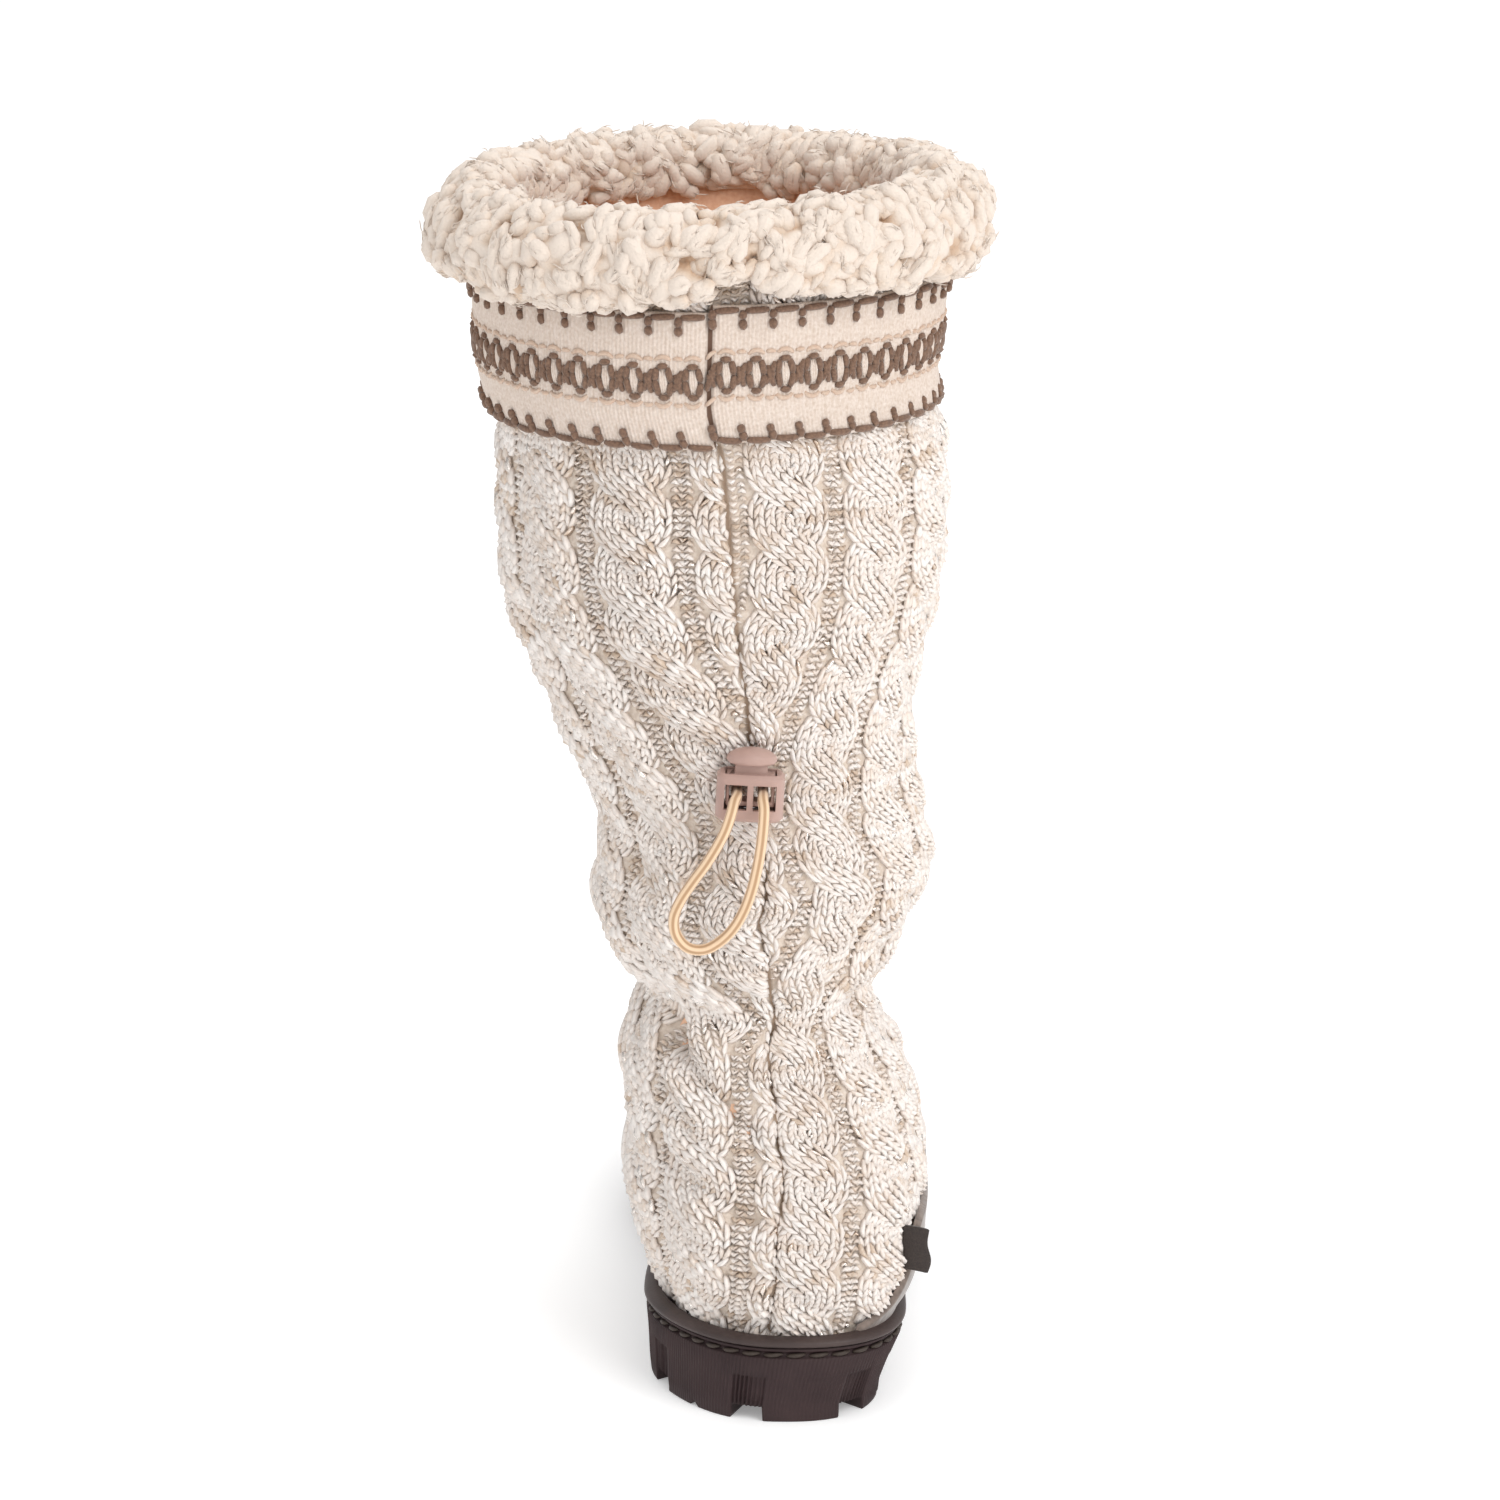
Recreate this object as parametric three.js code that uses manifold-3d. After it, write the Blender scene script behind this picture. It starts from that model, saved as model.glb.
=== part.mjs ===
// Knit shaft boot for the right foot: millimetres, +Z up, toe along +Y, outer side of the foot along +X.
// Every curved piece comes from one section function: a row gives the outline at a height, and the
// angle runs from the heel (0) over the outer side to the toe (half a turn) and back along the inner side.
import * as THREE from 'three';
import { mergeVertices } from 'three/addons/utils/BufferGeometryUtils.js';
import Module from 'manifold-3d';

const wasm = await Module();
wasm.setup();

// Driving dimensions
const GAP = 0.4;
const WALL = 3;
const COLUMNS_ROUND = 30;
const SOLE_LENGTH = 265;
const SOLE_TOP_HEEL = 19.6;
const SOLE_WEDGE = 4;
const TOE_SPRING = 9;
const ARCH_RISE = 2.5;
const LUG_DEPTH = 4;
const LUG_BAND = 17;
const NOTCH_WIDTH = 9;
const NOTCH_PITCH = 36;
const NOTCH_LATERAL_START = 19.5;
const NOTCH_MEDIAL_START = -11;
const RECESS_HEIGHT = 8.5;
const RECESS_DEPTH = 0.6;
const RECESS_RIDGE = 1.2;
const RAND_TOP = 23.4;
const INSOLE_THICKNESS = 4;
const VAMP_THICKNESS = 1.5;
const BAND_THICKNESS = 1.3;
const BAND_BOTTOM = 267;
const BAND_TOP = 303;
const CUFF_LUMP = 2.2;
const CUFF_LOCKS = 15;
const CUFF_TILT = 0.01;
const CUFF_SLANT = 0.045;
const CUFF_MIDDLE = { x: -18, y: 56 };
const CUFF_HANG = 3;
const REACH = 200;
const OVERRUN = 8;
const HEEL_SKEW = { by: 5.5, length: 45, fadeFrom: 25, fadeTo: 75 };
const TOE_TURN = { by: -3, from: 125, to: SOLE_LENGTH };
// Powers of the curves that close the two ends: blunt on the foot, round on the shaft
const BLUNT = { heel: 2.4, toe: 2.7, from: 50, to: 110 };
const LOCK = { x: -7.5, y: -3.4, z: 174, tilt: 3, width: 17.6, depth: 10, height: 12.5 };
const LOCK_TRAVEL = 2;
const CORD_DIAMETER = 3;
const WINDOW = { width: 5.9, height: 6.7, bar: 1.6, lift: 0.3 };
const LABEL = { x: 32.9, y: 16, z: 45, reach: 16, thickness: 1, height: 12, lean: 8 };
const CROSS_BAR = { width: 34, depth: 8, places: [28, 50, 132, 152, 172, 192, 212] };

// Where the foot widens at the ball and narrows at the arch, measured from the heel
const LATERAL_BALL = { at: 162, reach: 95 };
const MEDIAL_BALL = { at: 186, reach: 80 };
const ARCH = { at: 102, reach: 55 };
// Where the ground shape of the sole changes
const SHANK = { at: 104, reach: 26 };
const WEDGE = { from: 60, to: 150 };
const SPRING_FROM = 205;
// Heights between which the upper stops following the top of the sole
const FOOT_FADE = { from: 28, to: 90 };

// Sections of the upper's outer face, from the feather edge to the collar.
// heelRound and toeRound are the lengths over which the two ends close.
const UPPER_COLUMNS = [
  'height', 'back', 'front', 'heelRound', 'toeRound', 'centre', 'half', 'ball', 'waist',
];
const UPPER_ROWS = [
  [20, 4.5, 260.5, 49, 104, 0, 30.5, 6.5, 3],
  [25, 3.8, 260.5, 49, 104, 0, 31.2, 6.5, 3],
  [31, 0.8, 260, 49, 104, -0.1, 34.3, 5.5, 3],
  [37, -1.2, 257.5, 49, 106, -0.1, 36.2, 3, 3],
  [42.5, -2, 252, 49, 108, -0.2, 37.6, -0.5, 2.5],
  [47, -2, 243, 49, 110, -0.3, 38.2, -3.5, 2],
  [51, -1.8, 230, 49, 112, -0.3, 38.7, -6, 1.5],
  [54.5, -1.5, 214, 49, 112, -0.4, 39.1, -8.5, 1],
  [58.5, -1, 196, 49, 112, 0, 38.9, -11, 0.5],
  [63.5, -0.3, 178, 49, 108, 0.4, 38.5, -12, 0],
  [70, 0.8, 159, 52, 98, -0.8, 38.2, -10, 0],
  [78, 2.2, 142, 53, 84, -3.2, 38.2, -6, 0],
  [87, 4.8, 128, 52, 70, -5.1, 37.4, -3, 0],
  [95, 8, 118, 50, 60, -6.5, 33.8, 0, 0],
  [101, 9.5, 112.5, 50, 53, -6.4, 31.5, 0, 0],
  [108, 9.5, 109.5, 50, 50, -5, 30.4, 0, 0],
  [115, 8, 109.5, 50, 51, -6.2, 35, 0, 0],
  [123, 5.5, 111, 52, 53, -7, 40, 0, 0],
  [132, 3.5, 112.5, 54, 55, -6, 43.5, 0, 0],
  [141, 2.8, 112, 54, 55, -3.4, 44.3, 0, 0],
  [150, 3.8, 109.5, 52, 53, -4, 43.4, 0, 0],
  [160, 5, 107, 51, 51, -5.8, 43.3, 0, 0],
  [170, 4.5, 106.5, 51, 51, -8.6, 44.7, 0, 0],
  [182, 2, 107.5, 52, 53, -12, 47, 0, 0],
  [197, -1, 110.5, 55, 56, -13.4, 50.8, 0, 0],
  [214, -3.5, 114, 56, 62, -14.6, 56.4, 0, 0],
  [235, -4.5, 116.5, 56, 66, -14.5, 58.8, 0, 0],
  [261, -4.5, 116.5, 55, 67, -15, 58.4, 0, 0],
  [274, -5.8, 117.8, 55, 70, -18.4, 58.5, 0, 0],
  [302, -7, 118.5, 55, 72, -18, 61, 0, 0],
  [320, -7.5, 119, 55, 73, -18.2, 61.6, 0, 0],
].map((values) => Object.fromEntries(UPPER_COLUMNS.map((name, i) => [name, values[i]])));

// Outline of the sole at the stitch line; inset draws it in for the other levels
const SOLE_ROW = {
  height: 0, back: 0, front: SOLE_LENGTH, heelRound: 50, toeRound: 104,
  centre: -0.8, half: 34.8, ball: 6.5, waist: 3,
};
// Side wall of the outsole, from the foot of the body up: share of the thickness, how far it is drawn in,
// and how far its outer side is undercut besides (half by a shift, half by a narrower outline)
const SOLE_SIDE = [
  { share: 0, inset: 1, under: 2.7 },
  { share: 0.45, inset: 0.7, under: 1.5 },
  { share: 0.8, inset: 0.2, under: 0.2 },
  { share: 0.83, inset: 1.3, under: 0.2 },
  { share: 0.93, inset: 1.3, under: 0 },
  { share: 1, inset: 0.5, under: 0 },
];
// Top line of the suede on each side, as the height it reaches at a distance from the heel
const VAMP_LATERAL = [
  { y: 8, z: 25 }, { y: 12, z: 29 }, { y: 15, z: 38 }, { y: 19, z: 47 }, { y: 26, z: 51 }, { y: 46, z: 53 },
  { y: 78, z: 55 }, { y: 104, z: 63 }, { y: 140, z: 81 },
];
const VAMP_MEDIAL = [
  { y: 61, z: 26 }, { y: 66, z: 34 }, { y: 76, z: 39 }, { y: 90, z: 42 },
  { y: 110, z: 51 }, { y: 140, z: 81 },
];
// Cuff profile: distance out from the upper's face, height, share of the locks' swell and of the hang at the
// inner side of the leg, round from the outer hem to the inner facing
const CUFF_PROFILE = [
  { out: 0.6, z: 311.0, lump: 0, hangs: 0 },
  { out: 3.2, z: 310.2, lump: 0, hangs: 1 },
  { out: 7.6, z: 309.6, lump: 0.7, hangs: 1 },
  { out: 10.2, z: 312.2, lump: 1, hangs: 0.8 },
  { out: 10.6, z: 316.0, lump: 1, hangs: 0.4 },
  { out: 9.2, z: 320.4, lump: 1, hangs: 0 },
  { out: 5.2, z: 325.0, lump: 1, hangs: 0 },
  { out: -0.5, z: 327.8, lump: 1, hangs: 0 },
  { out: -7.0, z: 325.8, lump: 1, hangs: 0 },
  { out: -9.5, z: 319.5, lump: 0.7, hangs: 0 },
  { out: -8.0, z: 313.0, lump: 0.3, hangs: 0 },
  { out: -4.2, z: 312.0, lump: 0, hangs: 0 },
  { out: -4.2, z: 320.6, lump: 0, hangs: 0 },
  { out: 0.6, z: 320.6, lump: 0, hangs: 0 },
];

const clamp = (value) => Math.min(1, Math.max(0, value));
const smooth = (from, to, value) => {
  const u = clamp((value - from) / (to - from));
  return u * u * (3 - 2 * u);
};
const hump = (y, place) => (1 + Math.cos(Math.PI * Math.min(1, Math.abs(y - place.at) / place.reach))) / 2;
const closing = (u, power) => (u >= 1 ? 1 : (1 - (1 - Math.max(0, u)) ** power) ** (1 / power));

// Ground shape of the sole: flat heel and forefoot, raised arch, toe spring
const spring = (y) => TOE_SPRING * clamp((y - SPRING_FROM) / (SOLE_LENGTH - SPRING_FROM)) ** 2;
const soleBottom = (y) => spring(y) + ARCH_RISE * hump(y, SHANK);
const soleTop = (y) => SOLE_TOP_HEEL - SOLE_WEDGE * smooth(WEDGE.from, WEDGE.to, y) + spring(y);

// One point of a horizontal outline
function outline(row, angle) {
  const along = (1 - Math.cos(angle)) / 2;
  const y = row.back + (row.front - row.back) * along;
  const outer = Math.sin(angle) >= 0;
  const width = row.half + row.ball * hump(y, outer ? LATERAL_BALL : MEDIAL_BALL)
    - (outer ? 0 : row.waist * hump(y, ARCH));
  const shaft = smooth(BLUNT.from, BLUNT.to, row.height);
  const power = (foot) => foot + (2 - foot) * shaft;
  const ends = closing((y - row.back) / row.heelRound, power(BLUNT.heel))
    * closing((row.front - y) / row.toeRound, power(BLUNT.toe));
  const skew = HEEL_SKEW.by * (1 - smooth(0, HEEL_SKEW.length, y))
    * (1 - smooth(HEEL_SKEW.fadeFrom, HEEL_SKEW.fadeTo, row.height));
  const centre = row.centre + skew + TOE_TURN.by * smooth(TOE_TURN.from, TOE_TURN.to, y);
  return new THREE.Vector2(centre + (outer ? 1 : -1) * width * ends, y);
}

// Row of the upper between two rows of the table, on a smooth curve through them
function upperRow(level) {
  const last = UPPER_ROWS.length - 1;
  const i = Math.min(last - 1, Math.max(0, Math.floor(level)));
  const t = level - i;
  const [a, b, c, d] = [i - 1, i, i + 1, i + 2].map((n) => UPPER_ROWS[Math.min(last, Math.max(0, n))]);
  const blend = (name) => b[name] + 0.5 * t * (c[name] - a[name]
    + t * (2 * a[name] - 5 * b[name] + 4 * c[name] - d[name]
    + t * (3 * (b[name] - c[name]) + d[name] - a[name])));
  return Object.fromEntries(UPPER_COLUMNS.map((name) => [name, blend(name)]));
}

// Point of the upper's outer face; the foot follows the top of the sole
function upperFace(level, angle) {
  const row = upperRow(level);
  const { x, y } = outline(row, angle);
  const lift = (soleTop(y) - SOLE_TOP_HEEL) * (1 - smooth(FOOT_FADE.from, FOOT_FADE.to, row.height));
  return new THREE.Vector3(x, y, row.height + lift);
}

// The same point moved out along the face's normal
function upperPoint(level, angle, out) {
  const last = UPPER_ROWS.length - 1;
  const step = 0.02;
  const low = Math.max(0, level - step);
  const high = Math.min(last, level + step);
  const round = upperFace(level, angle + step).sub(upperFace(level, angle - step));
  const rise = upperFace(high, angle).sub(upperFace(low, angle));
  const normal = round.cross(rise).normalize();
  return upperFace(level, angle).addScaledVector(normal, out);
}

const angles = Array.from({ length: COLUMNS_ROUND }, (_, j) => (2 * Math.PI * j) / COLUMNS_ROUND);

function indexed(points, faces) {
  const geometry = new THREE.BufferGeometry();
  const numbers = points.flatMap((p) => [p.x, p.y, p.z]);
  geometry.setAttribute('position', new THREE.Float32BufferAttribute(numbers, 3));
  geometry.setIndex(faces.flat());
  return geometry;
}

// Closed solid of stacked outlines; each end is closed by strips that join its two sides
function stack(rings) {
  const n = rings[0].length;
  const faces = [];
  for (let i = 0; i < rings.length - 1; i++) {
    for (let j = 0; j < n; j++) {
      const [a, b] = [i * n + j, i * n + ((j + 1) % n)];
      faces.push([a, b, b + n], [a, b + n, a + n]);
    }
  }
  const top = (rings.length - 1) * n;
  for (let j = 0; j < n / 2; j++) {
    const [a, b, c, d] = [j, j + 1, n - j - 1, (n - j) % n];
    if (b !== c) faces.push([c, b, a], [top + a, top + b, top + c]);
    if (a !== d) {
      faces.push([d, c, a], [top + a, top + c, top + d]);
    }
  }
  return indexed(rings.flat(), faces);
}

// Closed ring: a profile that is carried once round
function ring(profiles) {
  const n = profiles.length;
  const m = profiles[0].length;
  const faces = [];
  for (let j = 0; j < n; j++) {
    for (let i = 0; i < m; i++) {
      const [a, b] = [j * m + i, ((j + 1) % n) * m + i];
      const up = (i + 1) % m - i;
      faces.push([a, b, b + up], [a, b + up, a + up]);
    }
  }
  return indexed(profiles.flat(), faces);
}

function toSolid(geometry) {
  const plain = geometry.clone();
  plain.deleteAttribute('normal');
  plain.deleteAttribute('uv');
  const merged = mergeVertices(plain, 1e-4);
  return new wasm.Manifold(new wasm.Mesh({
    numProp: 3,
    vertProperties: new Float32Array(merged.attributes.position.array),
    triVerts: new Uint32Array(merged.index.array),
  }));
}

function toGeometry(solid) {
  const { vertProperties, triVerts } = solid.getMesh();
  const geometry = new THREE.BufferGeometry();
  geometry.setAttribute('position', new THREE.Float32BufferAttribute(vertProperties, 3));
  geometry.setIndex(Array.from(triVerts));
  return geometry;
}

const at = (x, y, z) => new THREE.Matrix4().makeTranslation(x, y, z);

function boxSolid(x, y, z, place) {
  const geometry = new THREE.BoxGeometry(x, y, z);
  return toSolid(place ? geometry.applyMatrix4(place) : geometry);
}

// Form of the upper at a distance from its face; a through form runs on past both ends
function upperForm(out, through = false) {
  const rings = UPPER_ROWS.map((_, level) => angles.map((angle) => upperPoint(level, angle, out)));
  if (through) {
    const shifted = (points, z) => points.map((p) => p.clone().add(new THREE.Vector3(0, 0, z)));
    rings.unshift(shifted(rings[0], -OVERRUN));
    rings.push(shifted(rings[rings.length - 1], OVERRUN));
  }
  return toSolid(stack(rings));
}

const shell = (inner, outer) => upperForm(outer).subtract(upperForm(inner, true));

// Solid from one side of the foot to the other, inside an outline drawn on its side view
function sideCut(points, from = -REACH, to = REACH) {
  const shape = new THREE.Shape(points.map((p) => new THREE.Vector2(p.y, p.z)));
  const geometry = new THREE.ExtrudeGeometry(shape, { depth: to - from, bevelEnabled: false });
  geometry.applyMatrix4(new THREE.Matrix4().set(0, 0, 1, from, 1, 0, 0, 0, 0, 1, 0, 0, 0, 0, 0, 1));
  return toSolid(geometry);
}

function makeUpper() {
  return toGeometry(upperForm(0).subtract(upperForm(-WALL, true)));
}

// Suede over the foot: under its top line on each side, and just above the rand
function makeVamp() {
  const wall = shell(GAP, GAP + VAMP_THICKNESS);
  const beyond = SOLE_LENGTH + 20;
  const topSteps = 18;
  const footSteps = 12;
  const footAhead = 4;
  const side = (points, from, to) => {
    const curve = new THREE.CatmullRomCurve3(points.map((p) => new THREE.Vector3(0, p.y, p.z)));
    const line = curve.getPoints(topSteps);
    const feather = Array.from({ length: footSteps + 1 }, (_, i) => {
      const y = beyond + (line[0].y - beyond) * (i / footSteps);
      return { y, z: RAND_TOP + GAP + soleTop(y + footAhead) - SOLE_TOP_HEEL };
    });
    return wall.intersect(sideCut([...line, { y: beyond, z: line[topSteps].z }, ...feather], from, to));
  };
  return toGeometry(side(VAMP_LATERAL, 0, REACH).add(side(VAMP_MEDIAL, -REACH, 0)));
}

function makeBand() {
  const wall = shell(GAP, GAP + BAND_THICKNESS);
  const [low, high] = [BAND_BOTTOM, BAND_TOP];
  return toGeometry(wall.intersect(sideCut([
    { y: -REACH, z: low }, { y: REACH, z: low }, { y: REACH, z: high }, { y: -REACH, z: high },
  ])));
}

// Curly fleece: the profile swells in rows of locks that are set half a lock apart
function makeCuff() {
  const columns = 3 * CUFF_LOCKS;
  const top = UPPER_ROWS.length - 1;
  return ring(Array.from({ length: columns }, (_, j) => {
    const angle = (2 * Math.PI * j) / columns;
    const edge = upperPoint(top, angle, 0);
    const away = upperPoint(top, angle, 1).sub(edge).setZ(0).normalize();
    const inner = smooth(Math.PI, 1.3 * Math.PI, angle)
      * (1 - smooth(1.72 * Math.PI, 1.95 * Math.PI, angle));
    return CUFF_PROFILE.map(({ out, z, lump, hangs }, i) => {
      const curl = lump * CUFF_LUMP / 2 * Math.cos(CUFF_LOCKS * angle + Math.PI * (i % 2));
      const point = edge.clone().addScaledVector(away, out + curl);
      const lean = CUFF_TILT * (point.y - CUFF_MIDDLE.y) + CUFF_SLANT * (point.x - CUFF_MIDDLE.x);
      const tilt = lump > 0 ? lean : 0;
      return point.setZ(z + tilt - CUFF_HANG * hangs * inner);
    });
  }));
}

// Outline of the sole drawn in by inset, at a height that depends on the place along the foot
function soleRing({ inset, under = 0 }, height, columns = angles) {
  const row = {
    ...SOLE_ROW,
    back: SOLE_ROW.back + inset,
    front: SOLE_ROW.front - inset,
    half: SOLE_ROW.half - inset - under,
    centre: SOLE_ROW.centre - under,
  };
  return columns.map((angle) => {
    const { x, y } = outline(row, angle);
    return new THREE.Vector3(x, y, height(y));
  });
}

// Places at equal steps along the sole's edge, with the direction out of it
function edgePlaces(side) {
  const fine = Array.from({ length: 720 }, (_, j) => (2 * Math.PI * j) / 720);
  const points = soleRing(side, () => 0, fine);
  const steps = points.map((p, j) => p.distanceTo(points[(j + 1) % points.length]));
  const total = steps.reduce((a, b) => a + b, 0);
  const placeAt = (length) => {
    let rest = ((length % total) + total) % total;
    let j = 0;
    while (rest > steps[j]) rest -= steps[j++];
    const ahead = points[(j + 1) % points.length].clone().sub(points[j]).normalize();
    return { point: points[j].clone().addScaledVector(ahead, rest), turn: Math.atan2(ahead.y, ahead.x) };
  };
  const places = [];
  for (let s = NOTCH_LATERAL_START; s < total / 2; s += NOTCH_PITCH) places.push(placeAt(s));
  for (let s = NOTCH_MEDIAL_START; s > -total / 2; s -= NOTCH_PITCH) places.push(placeAt(s));
  return places;
}

function makeOutsole() {
  const thickness = (y) => soleTop(y) - soleBottom(y) - LUG_DEPTH;
  const level = (share) => (y) => soleBottom(y) + LUG_DEPTH + share * thickness(y);
  const body = toSolid(stack(SOLE_SIDE.map((side) => soleRing(side, level(side.share)))));
  const bite = 0.5;
  const [foot] = SOLE_SIDE;
  const lugFoot = { ...foot, inset: foot.inset + bite };
  const lugTop = (y) => soleBottom(y) + LUG_DEPTH + bite;
  const lugs = toSolid(stack([soleRing(lugFoot, soleBottom), soleRing(foot, lugTop)]));
  const well = (y) => soleBottom(y) - LUG_DEPTH;
  const wellTop = (y) => soleBottom(y) + LUG_DEPTH;
  let sole = lugs.subtract(toSolid(stack([
    soleRing({ inset: LUG_BAND + 2 }, well), soleRing({ inset: LUG_BAND }, wellTop),
  ])));
  // cross bars in the middle of the forefoot and heel
  const barHeight = LUG_DEPTH + bite;
  for (const y of CROSS_BAR.places) {
    const place = at(0, y, soleBottom(y) + barHeight / 2);
    sole = sole.add(boxSolid(CROSS_BAR.width, CROSS_BAR.depth, barHeight, place));
  }
  sole = sole.add(body);
  for (const { point, turn } of edgePlaces(foot)) {
    const base = soleBottom(point.y);
    const frame = new THREE.Matrix4().makeRotationZ(turn).setPosition(point.x, point.y, base);
    const cut = (x, y, z, place) => boxSolid(x, y, z, frame.clone().multiply(place));
    const notch = 2 * LUG_DEPTH;
    sole = sole.subtract(cut(NOTCH_WIDTH, 2 * LUG_BAND + 6, notch, at(0, 0, LUG_DEPTH - notch / 2)));
    // recess over the notch: three upright slots with two ridges left between them
    const slot = (NOTCH_WIDTH - 2 * RECESS_RIDGE) / 3;
    const deep = LUG_DEPTH * 2;
    for (const k of [-1, 0, 1]) {
      const place = at(k * (slot + RECESS_RIDGE), RECESS_DEPTH - deep / 2, LUG_DEPTH + RECESS_HEIGHT / 2);
      sole = sole.subtract(cut(slot, deep, RECESS_HEIGHT, place));
    }
  }
  return toGeometry(sole);
}

function makeRand() {
  const top = RAND_TOP - SOLE_TOP_HEEL;
  const profile = [
    { inset: 0.6, rise: GAP }, { inset: -0.5, rise: 0.3 * top }, { inset: -0.4, rise: 0.65 * top },
    { inset: 1.2, rise: top },
  ];
  const outer = profile.map(({ inset, rise }) => soleRing({ inset }, (y) => soleTop(y) + rise));
  return ring(angles.map((angle, j) => {
    const inner = [0.92, 0].map((level) => upperPoint(level, angle, GAP));
    inner[0].z = soleTop(inner[0].y) + top;
    inner[1].z = soleTop(inner[1].y) + GAP;
    return [...outer.map((points) => points[j]), ...inner];
  }));
}

function makeInsole() {
  const edge = WALL + GAP + 0.3;
  const layer = (rise) => angles.map((angle) => {
    const point = upperPoint(0, angle, -edge);
    point.z = soleTop(point.y) + rise;
    return point;
  });
  return stack([layer(GAP), layer(GAP + INSOLE_THICKNESS)]);
}

// Small woven flag that stands out from the suede at the outer side of the heel
function makeLabel() {
  const place = at(LABEL.x, LABEL.y, LABEL.z).multiply(
    new THREE.Matrix4().makeRotationY(THREE.MathUtils.degToRad(LABEL.lean)));
  const tape = boxSolid(LABEL.reach, LABEL.thickness, LABEL.height, place);
  return toGeometry(tape.subtract(upperForm(2 * GAP + VAMP_THICKNESS)));
}

function roundedRectangle(width, depth, radius) {
  const [x, y] = [width / 2 - radius, depth / 2 - radius];
  const shape = new THREE.Shape();
  shape.absarc(x, y, radius, 0, Math.PI / 2);
  shape.absarc(-x, y, radius, Math.PI / 2, Math.PI);
  shape.absarc(-x, -y, radius, Math.PI, 1.5 * Math.PI);
  shape.absarc(x, -y, radius, 1.5 * Math.PI, 2 * Math.PI);
  shape.closePath();
  return shape;
}

const CAVITY = { width: 13.4, depth: 6.4, floor: -5.2 };
const PLUNGER = { width: 12.6, depth: 5.6, bar: 1.2, top: 5.9 };
const NECK = { width: 8.4, depth: 4.4 };
const SLOT = { low: -1.1, high: 4.7, width: 10.9 };

// Barrel: rounded block, hollow from above, with two windows that run through from front to back
function makeBarrel() {
  const bevel = 0.9;
  const [width, depth, height] = [LOCK.width, LOCK.depth, LOCK.height].map((size) => size - 2 * bevel);
  const block = new THREE.ExtrudeGeometry(roundedRectangle(width, depth, 2.6), {
    depth: height, bevelThickness: bevel, bevelSize: bevel, bevelSegments: 1, curveSegments: 4,
  });
  block.translate(0, 0, -LOCK.height / 2 + bevel);
  const cavityHeight = LOCK.height;
  let barrel = toSolid(block).subtract(
    boxSolid(CAVITY.width, CAVITY.depth, cavityHeight, at(0, 0, CAVITY.floor + cavityHeight / 2)));
  for (const side of [-1, 1]) {
    const x = side * (WINDOW.width + WINDOW.bar) / 2;
    barrel = barrel.subtract(boxSolid(WINDOW.width, 2 * LOCK.depth, WINDOW.height, at(x, 0, WINDOW.lift)));
  }
  return toGeometry(barrel);
}

// Button: domed oval head on a plunger whose slot clears the cord over the whole travel
function makeButton() {
  const foot = LOCK.height / 2 + LOCK_TRAVEL + 0.3;
  const dome = [[0, 0], [6, 0], [6.65, 0.8], [6.3, 2.2], [4.6, 3.4], [2.2, 4], [0, 4.1]];
  const head = new THREE.LatheGeometry(dome.map(([r, z]) => new THREE.Vector2(r, z)), 16);
  head.rotateX(Math.PI / 2);
  head.scale(1, 0.66, 1);
  head.translate(0, 0, foot);
  const block = ({ width, depth }, low, high) => boxSolid(
    width, depth, high - low, at(0, 0, (low + high) / 2));
  const stem = block(PLUNGER, SLOT.low - PLUNGER.bar, PLUNGER.top)
    .subtract(block({ width: SLOT.width, depth: 2 * LOCK.depth }, SLOT.low, SLOT.high))
    .add(block(NECK, PLUNGER.top - 0.5, foot + 0.5));
  return toGeometry(toSolid(head).add(stem));
}

// Route of the elastic loop, from the knit through the left window, down and back through the right one
const CORD_ROUTE = [
  [-10.9, 2.4, 174.8], [-10.9, -3, 174.8], [-10.9, -8.5, 174.8], [-11.6, -12, 174.2], [-12.4, -14.6, 171.6],
  [-13.8, -15.2, 167.6], [-16, -14.4, 163], [-18.8, -12.9, 158], [-22, -11, 153], [-25.2, -9.2, 147.6],
  [-27.2, -7.8, 142.4], [-26.8, -6.8, 137.4], [-23.8, -6.2, 133.6], [-19.4, -6.2, 133], [-15.2, -6.8, 135.4],
  [-11.6, -7.8, 139.4], [-8.8, -9.2, 144.8], [-6.8, -10.8, 151], [-5.4, -12.4, 157.6], [-4.5, -13.8, 163.6],
  [-4, -14.6, 168.8], [-3.8, -13.8, 172.6], [-4.1, -11.6, 174.5], [-4.1, -8.5, 174.8], [-4.1, -3, 174.8],
  [-4.1, 2.2, 174.8],
];

function makeCord() {
  const path = new THREE.CatmullRomCurve3(CORD_ROUTE.map((p) => new THREE.Vector3(...p)));
  const section = new THREE.Shape().absarc(0, 0, CORD_DIAMETER / 2, 0, 2 * Math.PI);
  return new THREE.ExtrudeGeometry(section, { steps: 30, curveSegments: 4, extrudePath: path });
}

const FINISH = {
  outsole: { color: '#4a3f3b', roughness: 0.75 },
  rand: { color: '#5a4f4b', roughness: 0.45 },
  insole: { color: '#c79a78', roughness: 0.9 },
  upper: { color: '#ddd2c3', roughness: 0.95 },
  vamp: { color: '#6e625c', roughness: 0.9 },
  band: { color: '#e0d0bc', roughness: 0.9 },
  cuff: { color: '#efe3d3', roughness: 1 },
  lock_barrel: { color: '#c9a9a0', roughness: 0.4 },
  lock_button: { color: '#c9a9a0', roughness: 0.4 },
  drawcord: { color: '#d2b48f', roughness: 0.8 },
  flag_label: { color: '#2e2624', roughness: 0.85 },
};

function piece(name, geometry) {
  const mesh = new THREE.Mesh(geometry, new THREE.MeshStandardMaterial({ ...FINISH[name], metalness: 0 }));
  mesh.name = name;
  return mesh;
}

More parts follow.
